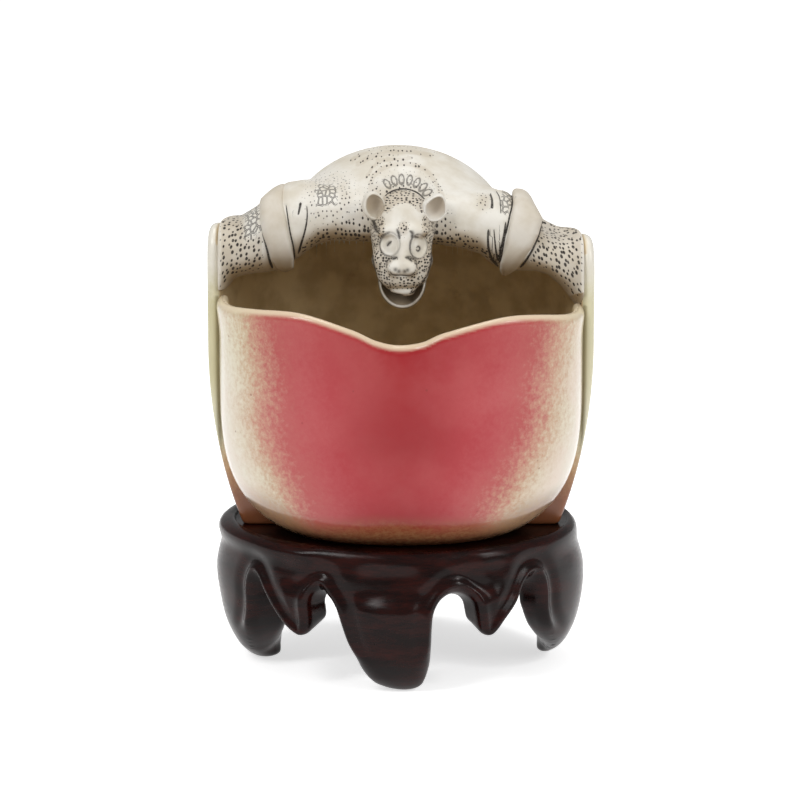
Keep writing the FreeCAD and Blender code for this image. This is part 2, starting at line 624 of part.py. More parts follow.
def make_beast(hollow):
    """All the luted parts of the beast, by node name."""
    made = {}
    middle = ("{body_x}", "{body_y}", "{body_z}")
    body = ellipsoid("body_form", "{body_half_width}", "{body_half_depth}", "{body_height}", *middle)
    vault = ellipsoid(
        "vault", "{vault_half_width}", "{vault_half_depth}", "{vault_height}", "0", "{vault_y}", "{vault_z}"
    )
    arch = free_form("arch", prism(ARCH, 70.0, -60.0, 12.0))
    left_ring = make_band("left_ring", "ring", "ring_left_x", "ring_left_z", "ring_left_lean")
    right_ring = make_band("right_ring", "ring", "ring_right_x", "ring_right_z", "ring_right_lean")
    left_fold = make_band("left_fold", "fold", "fold_left_x", "fold_z", "fold_left_lean")
    right_fold = make_band("right_fold", "fold", "fold_right_x", "fold_z", "fold_right_lean")
    half = ("{back_half_width}", "{back_half_depth}", "{back_height}")
    back = ellipsoid("back_form", *half, "0", "{back_y}", "{back_z}")
    back_box = box("back_slice", "-60", "{back_front_y}", "{back_low_z}", "120", "60", "40")
    back_block = common("back_block", back, back_box, hollow)
    made["left_ring"] = cut("left_ring", left_ring, back_block)
    made["right_ring"] = cut("right_ring", right_ring, back_block)
    made["left_fold"] = cut("left_fold", left_fold, left_ring, back_block)
    made["right_fold"] = cut("right_fold", right_fold, right_ring, back_block)
    for side, ring in (("left", left_ring), ("right", right_ring)):
        name = f"{side}_arm"
        inside = common(f"{name}_inside", make_arm(name), hollow)
        made[name] = cut(name, inside, ring, back_block)
    length = "{body_right_x} - {body_left_x}"
    slice_box = box("body_slice", "{body_left_x}", "-40", "{body_low_z}", length, "100", "60")
    raised = [(x, z + size("barrel_over_arch")) for x, z in ARCH]
    arch_raised = free_form("arch_raised", prism(raised, 70.0, -60.0, 12.0))
    domed = cut("domed_body", common("body_slice_form", body, slice_box), arch_raised)
    body_block = fuse("body_block", domed, make_barrel())
    made["beast_body"] = cut("beast_body", body_block, vault, left_fold, right_fold, left_ring, right_ring)
    made["beast_back"] = cut("beast_back", back_block, vault, arch, body_block)
    made["head"] = cut("head", make_head_form(), made["beast_body"])
    head = made["head"]
    made["lower_jaw"] = make_jaw(head)
    nose = ellipsoid(
        "nose_form", "{nose_half_width}", "{nose_half_depth}", "{nose_half_height}",
        "{head_x}", "{nose_y}", "{nose_z}",
    )
    made["nose"] = cut("nose", nose, head)
    for side in ("left", "right"):
        made[f"{side}_eye"] = make_eye(side, head)
        made[f"{side}_ear"] = make_ear(side, head, made["beast_body"])
    made["collar_band"] = make_collar(head, made["beast_body"])
    made["collar_beads"] = make_tassels(head, made["beast_body"], made["collar_band"])
    return made


def sound(shape):
    return not shape.isNull() and shape.isValid() and len(shape.Solids) > 0


def main():
    fill_sheet()
    nodes = {"stand": make_stand()}
    slab = nodes["floor_slab"] = make_floor_slab()
    nodes["rear_shell"], hollow = make_rear_shell(slab)
    nodes["front_panel"] = make_front_panel(nodes["rear_shell"], slab)
    nodes.update(make_beast(hollow))
    for name, obj in nodes.items():
        obj.Label = name
    doc.recompute()
    failed = [obj.Name for obj in doc.Objects if "Invalid" in obj.State or "Error" in obj.State]
    if failed:
        raise RuntimeError("these objects failed: " + ", ".join(failed))
    failed = [name for name, obj in nodes.items() if not sound(obj.Shape)]
    if failed:
        raise RuntimeError("no valid solid in: " + ", ".join(failed))
    os.makedirs(OUT, exist_ok=True)
    for name, obj in nodes.items():
        shape = obj.Shape
        shape.exportStep(f"{OUT}/{name}.step")
        box_now = shape.BoundBox
        print(
            f"{name:14s} solids {len(shape.Solids)} volume {shape.Volume:9.1f} "
            f"x {box_now.XMin:6.1f} {box_now.XMax:6.1f} y {box_now.YMin:6.1f} {box_now.YMax:6.1f} "
            f"z {box_now.ZMin:6.1f} {box_now.ZMax:6.1f}"
        )


main()
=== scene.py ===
"""Looks of the peach-form water coupe, its beast and its carved wood stand.

Shapes are worked out in millimetres as signed distance fields (negative inside), turned into meshes on a
grid, and stored in metres in the frame of the CAD model. Z is up and the front faces -Y.
"""
import math

import bpy
import numpy as np
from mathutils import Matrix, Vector


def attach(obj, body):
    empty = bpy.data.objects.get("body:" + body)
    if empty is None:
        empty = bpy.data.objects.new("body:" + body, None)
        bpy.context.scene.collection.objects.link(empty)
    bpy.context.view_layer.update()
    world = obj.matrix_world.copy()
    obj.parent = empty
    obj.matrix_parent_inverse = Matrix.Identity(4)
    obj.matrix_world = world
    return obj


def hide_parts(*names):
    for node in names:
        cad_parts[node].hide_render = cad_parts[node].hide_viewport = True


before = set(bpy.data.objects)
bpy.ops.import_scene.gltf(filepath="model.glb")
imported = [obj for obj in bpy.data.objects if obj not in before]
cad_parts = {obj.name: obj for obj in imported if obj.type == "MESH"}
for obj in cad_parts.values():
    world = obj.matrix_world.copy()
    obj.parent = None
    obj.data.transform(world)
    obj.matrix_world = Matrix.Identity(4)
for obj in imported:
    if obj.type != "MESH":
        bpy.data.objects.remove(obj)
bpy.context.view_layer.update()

MM = 0.001

# Camera of the photograph: tilt down, distance and focal length, with sizes in millimetres
CAMERA_TILT = math.radians(13.0)
CAMERA_REACH = 1200.0
CAMERA_LENS = 216.0
AIM = (-0.25, 0.0, 66.24)

# Coupe
SEAT_Z = 35.6
FLOOR_Z = 40.4
JOINT_Y = -6.0
SHELL_HALF = (48.0, 47.0)
SHELL_WALL = 3.2
SHELL_BELLY_Z = 82.0
SHELL_TOP = [
    (-14.0, 110.3), (-6.0, 110.3), (2.0, 109.6), (10.0, 108.2), (20.0, 106.9), (32.0, 106.4), (60.0, 106.4),
]
SHELL_TOP_SLOPE = -3.0 / 96.0
PANEL_HALF = (45.0, 35.0)
PANEL_WALL = 3.0
PANEL_BELLY_Z = 75.0
PANEL_ROUND = 42.3
PANEL_POWER = 2.25
BOWL_POWER = 3.2
BOWL_LIFT = 3.4  # how far the bowl's inside is raised over its outside
CLEFT_DEPTH = 2.6
CLEFT_HALF = 8.0
RIM = [
    (-52.0, 93.4), (-45.5, 93.8), (-36.0, 95.4), (-24.4, 95.9), (-12.3, 92.6), (-6.0, 89.7), (-0.7, 88.5),
    (5.0, 89.3), (11.0, 91.9), (23.9, 94.8), (33.8, 94.4), (46.0, 91.4), (52.0, 90.8),
]

# Stand
STAND_HALF = (45.9, 40.6)
STAND_RIM_Z = 37.0
STAND_CEILING_Z = 29.5
STAND_WALL = 10.0
FOOT_THINNING = 2.6
LEFT_FOOT_EXTRA = 4.4
FLUTE = 0.06  # how far the apron draws in between the feet, as a share of its size
LEFT_FLANK = 0.012
SHOULDERS = (0.050, 0.016)  # how far the rim swells at the left and at the right, as shares of its size
RIM_ROUND = 4.6
TOE_CUT = 5.0
EDGE_DROP = 1.3
EDGE_SLANT = 0.55
EDGE_LIP = 0.6
SEAT_HALF = (41.6, 34.6)
APRON = [
    (-4.0, 0.76, 0.74), (0.0, 0.815, 0.80), (4.5, 0.895, 0.89), (11.0, 0.965, 0.97), (20.0, 1.0, 1.0),
    (28.5, 0.99, 0.978), (34.0, 0.957, 0.925), (37.0, 0.95, 0.905), (42.0, 0.95, 0.905),
]
RIGHT_EDGE = [
    (5.0, -6.0), (9.4, 1.2), (10.4, 6.0), (10.0, 11.2), (9.8, 17.2), (10.4, 21.6), (13.0, 25.2), (17.2, 27.4),
    (21.8, 27.9), (26.2, 26.8), (29.0, 24.0), (30.2, 19.4), (31.0, 16.4), (32.4, 15.3), (34.4, 16.0),
    (37.8, 18.9), (43.2, 22.7), (46.7, 26.8), (50.5, 29.0), (54.3, 29.0), (57.4, 26.4), (58.8, 22.5),
    (59.6, 18.0), (62.5, 13.5), (69.0, 8.5), (79.0, 3.5), (88.0, 0.0), (92.0, -6.0),
]
LEFT_EDGE = [
    (-90.0, -6.0), (-84.5, 0.0), (-78.0, 3.5), (-71.0, 8.5), (-66.4, 14.0), (-64.0, 19.0), (-63.2, 23.0),
    (-61.5, 26.6), (-58.7, 28.4), (-55.5, 27.0), (-52.7, 24.4), (-49.2, 21.4), (-44.0, 17.5), (-40.6, 15.6),
    (-37.6, 14.8), (-36.1, 16.6), (-35.9, 20.0), (-36.1, 23.0), (-35.0, 26.3), (-31.6, 28.5), (-28.5, 27.8),
    (-26.8, 26.3), (-24.8, 24.6), (-23.0, 22.3), (-21.8, 19.8), (-19.6, 14.3), (-16.9, 8.8), (-15.2, 5.2),
    (-12.0, 2.0), (-6.4, -0.8), (0.0, -6.0),
]
KNEES = [
    # azimuth, height of the top, half width round the apron, amount
    (-4.0, 24.5, 13.0, 2.0), (-38.5, 26.0, 8.0, 1.1), (32.0, 26.0, 8.0, 1.1), (-86.0, 28.0, 17.0, 0.3),
    (82.0, 28.0, 17.0, 0.6), (176.0, 24.5, 13.0, 2.0), (141.0, 26.0, 9.0, 1.1), (-148.0, 26.0, 9.0, 1.1),
]
SWELLS = [
    (0.0, 1.0), (22.0, 0.0), (33.0, 0.7), (52.0, 0.0), (90.0, 1.0), (120.0, 0.0), (142.0, 0.7), (152.0, 0.0),
    (180.0, 1.0), (202.0, 0.0), (213.0, 0.7), (232.0, 0.0), (270.0, 1.0), (300.0, 0.0), (322.0, 0.7),
    (332.0, 0.0), (360.0, 1.0),
]


# Distance fields
def length(p):
    """Length of each row."""
    return np.sqrt((p * p).sum(-1))


def smooth_min(a, b, k):
    """Lesser of two distances, rounded over a width k where they meet."""
    h = np.clip(0.5 + 0.5 * (b - a) / k, 0.0, 1.0)
    return b + (a - b) * h - k * h * (1.0 - h)


def smooth_max(a, b, k):
    return -smooth_min(-a, -b, k)


def step_up(value, low, high):
    """0 below low, 1 above high, eased between."""
    t = np.clip((value - low) / (high - low), 0.0, 1.0)
    return t * t * (3.0 - 2.0 * t)


def ellipsoid(p, middle, radii):
    q = p - np.asarray(middle)
    radii = np.asarray(radii, float)
    near = length(q / radii)
    return near * (near - 1.0) / np.maximum(length(q / radii**2), 1e-6)


def capsule(p, a, b, radius_a, radius_b):
    a, b = np.asarray(a, float), np.asarray(b, float)
    along = b - a
    t = np.clip((p - a) @ along / (along @ along), 0.0, 1.0)
    return length(p - a - t[:, None] * along) - (radius_a + t * (radius_b - radius_a))


def turned(x=0.0, y=0.0, z=0.0):
    """Matrix whose columns are the axes of a part turned by these degrees about X, then Y, then Z."""
    made = np.eye(3)
    for axis, degrees in ((0, x), (1, y), (2, z)):
        c, s = math.cos(math.radians(degrees)), math.sin(math.radians(degrees))
        one = np.eye(3)
        i, j = [(1, 2), (2, 0), (0, 1)][axis]
        one[i, i], one[i, j], one[j, i], one[j, j] = c, -s, s, c
        made = one @ made
    return made


def smooth_curve(points, count=40):
    """Points along a Catmull-Rom curve through the given ones."""
    points = np.asarray(points, float)
    padded = np.vstack([2 * points[0] - points[1], points, 2 * points[-1] - points[-2]])
    t = np.linspace(0, len(points) - 1, count)
    k = np.minimum(t.astype(int), len(points) - 2)
    t = (t - k)[:, None]
    a, b, c, d = padded[k], padded[k + 1], padded[k + 2], padded[k + 3]
    return 0.5 * (2 * b + (c - a) * t + (2 * a - 5 * b + 4 * c - d) * t**2 + (3 * b - a - 3 * c + d) * t**3)


def line_at(points, count=400):
    """A function of the first coordinate that follows a smooth curve through the points."""
    curve = smooth_curve(points, count)
    return lambda value: np.interp(value, curve[:, 0], curve[:, 1])


# Meshes from fields
BLOCK = 4


def sampled(field, low, high, step):
    """Field on a grid, worked out in full near the surface; elsewhere only its sign is right."""
    blocks = np.ceil((np.asarray(high) - low) / (step * BLOCK)).astype(int)
    axes = [low[k] + step * BLOCK * (np.arange(blocks[k]) + 0.5) - step / 2 for k in range(3)]
    middles = np.stack(np.meshgrid(*axes, indexing="ij"), -1)
    coarse = field(middles.reshape(-1, 3)).reshape(blocks)
    value = coarse
    for axis in range(3):
        value = np.repeat(value, BLOCK, axis)
    value = value.copy()
    near = np.argwhere(np.abs(coarse) < 9.0 * step + 0.8)
    offsets = np.stack(np.meshgrid(*[np.arange(BLOCK)] * 3, indexing="ij"), -1).reshape(-1, 3)
    nodes = (near[:, None, :] * BLOCK + offsets[None]).reshape(-1, 3)
    for start in range(0, len(nodes), 400000):
        some = nodes[start:start + 400000]
        value[tuple(some.T)] = field(some * step + low)
    return value


def net_of(value, low, step):
    """Surface net of a sampled field: points and quads."""
    inside = value < 0
    cells = np.array(value.shape) - 1
    corners = [(a, b, c) for a in (0, 1) for b in (0, 1) for c in (0, 1)]
    filled = sum(
        inside[a:a + cells[0], b:b + cells[1], c:c + cells[2]].astype(np.int8) for a, b, c in corners
    )
    idx = np.argwhere((filled > 0) & (filled < 8))
    total = np.zeros((len(idx), 3))
    count = np.zeros(len(idx))
    for a, b, c in corners:
        for axis in range(3):
            start = np.array((a, b, c))
            if start[axis]:
                continue
            end = start.copy()
            end[axis] = 1
            first, last = value[tuple((idx + start).T)], value[tuple((idx + end).T)]
            crossed = (first < 0) != (last < 0)
            share = np.where(crossed, first / np.where(crossed, first - last, 1.0), 0.0)
            total[crossed] += (start + share[:, None] * (end - start))[crossed]
            count += crossed
    points = (idx + total / count[:, None]) * step + low
    number = np.full(cells, -1, np.int64)
    number[tuple(idx.T)] = np.arange(len(idx))
    quads = []
    for axis in range(3):
        b, c = (axis + 1) % 3, (axis + 2) % 3
        first = [slice(None)] * 3
        last = [slice(None)] * 3
        first[axis], last[axis] = slice(0, -1), slice(1, None)
        edges = np.argwhere(inside[tuple(first)] != inside[tuple(last)])
        for k in (b, c):
            edges = edges[(edges[:, k] > 0) & (edges[:, k] < cells[k])]
        around = []
        for step_b, step_c in ((-1, -1), (0, -1), (0, 0), (-1, 0)):
            cell = edges.copy()
            cell[:, b] += step_b
            cell[:, c] += step_c
            around.append(number[tuple(cell.T)])
        quad = np.stack(around, 1)
        inward = ~inside[tuple(edges.T)]
        quad[inward] = quad[inward][:, ::-1]
        quads.append(quad)
    return points, np.vstack(quads)


def slope_of(field, points, reach=0.02):
    slope = np.empty_like(points)
    for axis in range(3):
        shift = np.zeros(3)
        shift[axis] = reach
        slope[:, axis] = (field(points + shift) - field(points - shift)) / (2 * reach)
    return slope


def relaxed(points, quads):
    """Each point moved halfway to the middle of its neighbours along the quads' edges."""
    total = np.zeros_like(points)
    count = np.zeros(len(points))
    for k in range(4):
        for other in (quads[:, (k + 1) % 4], quads[:, (k + 3) % 4]):
            here = quads[:, k]
            count += np.bincount(here, minlength=len(points))
            for axis in range(3):
                total[:, axis] += np.bincount(here, points[other, axis], len(points))
    return 0.5 * points + 0.5 * total / np.maximum(count, 1.0)[:, None]


def sculpted(field, low, high, step):
    """Points and quads of a field's surface between two corners, evened out and set on the surface."""
    low, high = np.asarray(low, float), np.asarray(high, float)
    points, quads = net_of(sampled(field, low, high, step), low, step)
    for smoothing in (True, True, False):
        if smoothing:
            points = relaxed(points, quads)
        slope = slope_of(field, points)
        move = -slope * (field(points) / np.maximum((slope * slope).sum(1), 0.2))[:, None]
        points = points + move * np.minimum(1.0, step / np.maximum(length(move), 1e-9))[:, None]
    return points, quads


def normals_of(field, points):
    slope = slope_of(field, points)
    return slope / np.maximum(length(slope), 1e-6)[:, None]


def as_seen(p):
    """Where points lie in the photograph, in millimetres right of and above its middle."""
    tilt_s, tilt_c = math.sin(CAMERA_TILT), math.cos(CAMERA_TILT)
    x, y, z = p[:, 0] - AIM[0], p[:, 1], p[:, 2] - AIM[2]
    depth = CAMERA_REACH + y * tilt_c - z * tilt_s
    scale = CAMERA_REACH / depth
    return np.stack([x * scale, (y * tilt_s + z * tilt_c) * scale], 1)


def line_distance(flat, points):
    """Distance from flat places to a curve, and how far along the curve the nearest point is, 0 to 1."""
    best = np.full(len(flat), 1e9)
    along = np.zeros(len(flat))
    for k in range(len(points) - 1):
        a, b = points[k], points[k + 1]
        edge = b - a
        t = np.clip((flat - a) @ edge / max(edge @ edge, 1e-9), 0.0, 1.0)
        away = np.hypot(*(flat - a - t[:, None] * edge).T)
        closer = away < best
        best[closer] = away[closer]
        along[closer] = ((k + t) / (len(points) - 1))[closer]
    return best, along


def engraved(flat, strokes, width=0.28):
    """Depth 0 to 1 of thin strokes that thin out towards both ends."""
    ink = np.zeros(len(flat))
    for weight, points in strokes:
        curve = smooth_curve(points, 6 * len(points))
        away, along = line_distance(flat, curve)
        taper = np.sqrt(np.clip(4.0 * along * (1.0 - along) + 0.15, 0.0, 1.0))
        ink = np.maximum(ink, min(1.0, weight) * np.exp(-((away / (width * max(weight, 0.6) * taper)) ** 2)))
    return ink


def stroked(flat, strokes):
    """Signed distance across the nearest stroke, and that stroke's half width there, 0 away from it."""
    across = np.full(len(flat), 3.0)
    half = np.zeros(len(flat))
    best = np.full(len(flat), 1e9)
    for first, last, points in strokes:
        curve = smooth_curve(points, 6 * len(points))
        away, along = line_distance(flat, curve)
        k = np.clip((along * (len(curve) - 1)).astype(int), 0, len(curve) - 2)
        edge = curve[k + 1] - curve[k]
        off = flat - curve[k]
        side = (edge[:, 0] * off[:, 1] - edge[:, 1] * off[:, 0]) / np.maximum(np.hypot(*edge.T), 1e-6)
        ends = np.clip(14.0 * np.minimum(along, 1.0 - along), 0.0, 1.0) ** 0.5
        closer = away < best
        best[closer] = away[closer]
        across[closer] = side[closer]
        half[closer] = ((first + (last - first) * along) * ends * (away < 1.3))[closer]
    return np.clip(across, -3.0, 3.0), half


def wrapped(angle, radius, height, cell):
    """Place on a limb's skin for drawing dots, in cells round it and along it."""
    return np.stack([angle * radius / cell[0], height / cell[1], np.zeros(len(height))], 1)


def piece(name, points, quads, body, slot, material, replaces=(), **layers):
    """Puts a mesh into the scene in metres, with a value per point for each layer."""
    mesh = bpy.data.meshes.new(name)
    mesh.from_pydata((points * MM).tolist(), [], quads.tolist())
    for layer, values in layers.items():
        values = np.asarray(values, np.float32)
        flat = values.ndim == 1
        made = mesh.attributes.new(layer, "FLOAT" if flat else "FLOAT_VECTOR", "POINT")
        made.data.foreach_set("value" if flat else "vector", values.ravel())
    mesh.shade_smooth()
    obj = bpy.data.objects.new(name, mesh)
    bpy.context.scene.collection.objects.link(obj)
    mesh.materials.append(material)
    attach(obj, body)
    if replaces:
        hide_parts(*replaces)
    return obj


# Coupe walls
def bowl_share(z, start, drop, power):
    below = np.clip((start - z) / drop, 0.0, 0.9995)
    return (1.0 - below**power) ** (1.0 / power)


def shell_outer(p):
    x, y, z = p.T
    share = bowl_share(z, SHELL_BELLY_Z, SHELL_BELLY_Z, 2.0)
    return (np.hypot(x / SHELL_HALF[0], (y - JOINT_Y) / SHELL_HALF[1]) - share) * 47.0


def shell_inner(p):
    x, y, z = p.T
    share = bowl_share(z - BOWL_LIFT, PANEL_BELLY_Z, PANEL_ROUND / 0.98, BOWL_POWER)
    half = SHELL_HALF[0] - SHELL_WALL, SHELL_HALF[1] - SHELL_WALL
    return (np.hypot(x / half[0], (y - JOINT_Y) / half[1]) - share) * 43.0


shell_top = line_at(SHELL_TOP)
rim_line = line_at(RIM)


def shell_field(p):
    x, y, z = p.T
    hollow = smooth_max(shell_inner(p), FLOOR_Z - z, 3.0)
    wall = smooth_max(shell_outer(p), -hollow, 0.8)
    top = shell_top(y) + SHELL_TOP_SLOPE * x
    corner = smooth_max(JOINT_Y - y, z - top, 9.0)
    wall = smooth_max(wall, corner, 2.0)
    return smooth_max(wall, SEAT_Z - z, 0.8)


def panel_form(p, inset, lift):
    x, y, z = p.T
    share = bowl_share(z - lift, PANEL_BELLY_Z, PANEL_ROUND, BOWL_POWER)
    flare = 0.8 * step_up(z, 84.0, 95.0)
    fade = np.clip((z - 58.0) / 37.0, 0.0, 1.0)
    cleft = CLEFT_DEPTH * fade**1.5 * np.exp(-((x / CLEFT_HALF) ** 2))
    ahead = np.maximum(JOINT_Y - (y - cleft * step_up(-y, 8.0, 20.0)), 0.0)
    wide = np.abs(x) / (PANEL_HALF[0] - inset + flare)
    deep = ahead / (PANEL_HALF[1] - inset)
    near = (wide**PANEL_POWER + deep**PANEL_POWER + 1e-9) ** (1.0 / PANEL_POWER)
    return (near - share) * 40.0


def panel_field(p):
    x, y, z = p.T
    hollow = smooth_max(panel_form(p, PANEL_WALL, BOWL_LIFT), FLOOR_Z - z, 3.0)
    wall = smooth_max(panel_form(p, 0.0, 0.0), -hollow, 0.8)
    wall = smooth_max(wall, z - rim_line(x), 2.2)
    wall = smooth_max(wall, y + 3.0, 0.4)
    return smooth_max(wall, SEAT_Z - z, 0.8)


# Stand
def edge_curve():
    """Lower edge of the apron once round: azimuth in degrees and height."""
    turned_edges = ((LEFT_EDGE, 0.0), (RIGHT_EDGE, 0.0), (LEFT_EDGE, 185.0), (RIGHT_EDGE, 180.0))
    runs = [np.array(edge) + (turn, 0.0) for edge, turn in turned_edges]
    runs = sorted(runs, key=lambda run: run[0, 0])
    round_once = np.vstack([smooth_curve(run, 500) for run in runs])
    return np.vstack([round_once - (360.0, 0.0), round_once, round_once + (360.0, 0.0)])


EDGE_SCALE = 0.72  # millimetres round the apron per degree
EDGE_STEP = 0.25


def edge_table():
    """Signed distance to the apron's lower edge, positive below it, over azimuth and height."""
    curve = edge_curve()
    azimuth = np.arange(-180.0, 180.0 + EDGE_STEP, EDGE_STEP / EDGE_SCALE)
    height = np.arange(-8.0, 46.0, EDGE_STEP)
    table = np.empty((len(azimuth), len(height)))
    for k, a in enumerate(azimuth):
        close = curve[np.abs(curve[:, 0] - a) < 30.0]
        away = np.hypot((close[:, 0] - a)[None] * EDGE_SCALE, close[:, 1][None] - height[:, None]).min(1)
        passed = np.flatnonzero((curve[:-1, 0] < a) != (curve[1:, 0] < a))
        above = (curve[passed, 1][None] > height[:, None]).sum(1)
        table[k] = np.where(above % 2 == 1, away, -away)
    return azimuth, height, table


def looked_up(table, x, y):
    """Value between the entries of a table over two even axes."""
    xs, ys, values = table
    u = np.clip((x - xs[0]) / (xs[1] - xs[0]), 0, len(xs) - 1.001)
    v = np.clip((y - ys[0]) / (ys[1] - ys[0]), 0, len(ys) - 1.001)
    i, j = u.astype(int), v.astype(int)
    u, v = u - i, v - j
    low = values[i, j] * (1 - u) + values[i + 1, j] * u
    high = values[i, j + 1] * (1 - u) + values[i + 1, j + 1] * u
    return low * (1 - v) + high * v


def make_stand_field():
    table = edge_table()
    apron = np.array(APRON)
    levels = np.linspace(-4.0, 42.0, 93)
    wide = smooth_curve(apron[:, [0, 1]], 300)
    deep = smooth_curve(apron[:, [0, 2]], 300)
    wide = np.interp(levels, wide[:, 0], wide[:, 1])
    deep = np.interp(levels, deep[:, 0], deep[:, 1])
    swell_at = np.array(SWELLS)
    around = np.linspace(0, 360, 721)
    k = np.clip(np.searchsorted(swell_at[:, 0], around, "right") - 1, 0, len(swell_at) - 2)
    span = (around - swell_at[k, 0]) / (swell_at[k + 1, 0] - swell_at[k, 0])
    swell = swell_at[k, 1] + (swell_at[k + 1, 1] - swell_at[k, 1]) * (1 - np.cos(np.pi * span)) / 2

    def field(p):
        x, y, z = p.T
        azimuth = np.degrees(np.arctan2(x, -y))
        fade = np.sin(np.pi * np.clip((STAND_RIM_Z - z) / STAND_RIM_Z, 0.0, 1.0)) ** 0.8
        share = 1.0 - FLUTE * fade * (1.0 - np.interp(azimuth % 360.0, around, swell))
        left, right = step_up(-x, 5.0, 35.0), step_up(x, 5.0, 35.0)
        share = share + LEFT_FLANK * step_up(z, 16.0, 26.0) * left
        share = share + step_up(z, 30.5, 36.0) * (SHOULDERS[0] * left + SHOULDERS[1] * right)
        half_x = STAND_HALF[0] * np.interp(z, levels, wide)
        half_y = STAND_HALF[1] * np.interp(z, levels, deep)
        outer = (np.hypot(x / half_x, y / half_y) - share) * 42.0
        thick = STAND_WALL - FOOT_THINNING * (1.0 - step_up(z, 3.0, 13.0))
        thick = thick + LEFT_FOOT_EXTRA * step_up(-x, 15.0, 30.0) * step_up(26.0 - z, 4.0, 10.0)
        inner = (np.hypot(x / (half_x - thick), y / (half_y - thick)) - 1.0) * 35.0
        hollow = smooth_max(inner, z - STAND_CEILING_Z, 3.0)
        depth = np.clip(-outer, 0.0, 12.0)
        lift = EDGE_SLANT * np.clip((z - 20.5) / 6.0, -0.6, 1.0) * depth
        edge = looked_up(table, azimuth, z + lift) - EDGE_DROP
        lip = np.exp(-(((-edge - 1.3) / 1.1) ** 2)) - 0.9 * np.exp(-(((-edge - 4.2) / 1.6) ** 2))
        outer = outer - EDGE_LIP * lip * step_up(edge, -9.0, -6.0) * step_up(z, 8.0, 14.0)
        waist = np.zeros(len(z))
        for middle, top, half, amount in KNEES:
            off = (azimuth - middle + 180.0) % 360.0 - 180.0
            waist += amount * np.exp(-((off / half) ** 4)) * step_up(z, top - 3.0, top + 2.5)
        outer = outer + waist * (1.0 - step_up(z, 29.5, 35.5))
        foot = 1.0 - step_up(z, 4.0, 14.0)
        toe = (TOE_CUT - inner - z) * math.sqrt(0.5)
        wall = smooth_max(outer, -hollow, 1.5 + 3.5 * foot)
        wall = smooth_max(wall, z - STAND_RIM_Z, RIM_ROUND)
        wall = smooth_max(wall, toe, 3.0)
        recess = (np.hypot(x / SEAT_HALF[0], y / SEAT_HALF[1]) - 1.0) * 37.0
        wall = smooth_max(wall, -smooth_max(recess, SEAT_Z - z, 0.4), 0.9)
        wall = smooth_max(wall, edge, 2.2 + 1.8 * (1.0 - step_up(z, 8.0, 20.0)) + 2.0 * foot)
        return smooth_max(wall, -z, 2.2)

    return field


# Beast's body: limbs and body as one beam over the arch, with the domed back behind
BEAM = [
    # x, top, underside, middle in y, half depth
    (-50.0, 109.0, 86.0, 4.6, 10.2),
    (-46.5, 109.8, 91.0, 4.4, 10.2),
    (-43.9, 110.8, 95.0, 4.2, 10.2),
    (-41.9, 111.6, 96.7, 3.8, 10.2),
    (-39.9, 112.0, 97.6, 3.4, 10.2),
    (-36.0, 114.6, 98.5, 2.6, 10.3),
    (-33.0, 117.6, 98.8, 2.0, 10.4),
    (-30.4, 119.8, 99.4, 1.8, 10.5),
    (-28.0, 121.0, 100.4, 1.6, 10.6),
    (-24.3, 121.6, 103.4, 1.6, 10.8),
    (-20.6, 121.6, 106.2, 1.4, 11.2),
    (-16.4, 121.2, 107.2, 1.2, 11.4),
    (-9.7, 120.5, 106.9, 1.0, 11.6),
    (0.0, 120.3, 106.8, 0.8, 11.6),
    (8.7, 120.3, 106.2, 1.0, 11.6),
    (14.6, 120.2, 105.3, 1.2, 11.4),
    (19.6, 119.6, 103.7, 1.4, 11.0),
    (22.6, 119.3, 100.8, 1.6, 10.8),
    (25.5, 118.8, 99.4, 1.6, 10.6),
    (28.0, 117.6, 99.3, 1.6, 10.5),
    (31.0, 114.2, 99.3, 1.8, 10.5),
    (33.2, 111.2, 99.3, 2.0, 10.4),
    (36.5, 108.9, 98.2, 2.6, 10.3),
    (39.4, 108.1, 95.4, 3.4, 10.2),
    (41.4, 108.0, 93.0, 3.8, 10.2),
    (43.4, 107.8, 90.0, 4.2, 10.2),
    (46.5, 107.0, 86.0, 4.4, 10.2),
    (50.0, 105.0, 82.0, 4.6, 10.2),
]
# Rings over height: middle across and half width
LEFT_RING = [
    (98.2, -29.2, 0.6), (99.4, -29.1, 2.4), (101.8, -29.5, 3.0), (105.0, -30.1, 3.1), (108.2, -31.0, 3.25),
    (111.5, -31.5, 3.3), (115.5, -32.0, 3.0), (117.0, -31.8, 2.9), (119.8, -30.4, 1.7), (121.2, -29.6, 1.0),
]
RIGHT_RING = [
    (97.0, 25.8, 0.5), (99.0, 26.6, 2.1), (100.5, 27.2, 2.7), (104.2, 28.9, 3.4), (107.7, 30.1, 3.8),
    (111.8, 31.0, 4.0), (115.6, 30.4, 2.7), (119.0, 29.7, 2.1), (121.0, 29.4, 1.7),
]
# A ring's middle in y and z, its half depth and half height, and how softly its outer and inner edges roll
LEFT_ROLL = (1.6, 109.7, 12.1, 11.3, 2.8, 1.2)
RIGHT_ROLL = (1.6, 108.4, 12.1, 11.1, 2.6, 1.2)


def beam_field(p):
    x, y, z = p.T
    beam = np.array(BEAM)
    top = np.interp(x, beam[:, 0], beam[:, 1])
    low = np.interp(x, beam[:, 0], beam[:, 2])
    middle_y = np.interp(x, beam[:, 0], beam[:, 3])
    half_y = np.interp(x, beam[:, 0], beam[:, 4])
    half_z = (top - low) / 2
    near = (np.abs((y - middle_y) / half_y) ** 2.3 + np.abs((z - top + half_z) / half_z) ** 2.3) ** (1 / 2.3)
    return (near - 1.0) * np.minimum(half_y, half_z) * 0.85


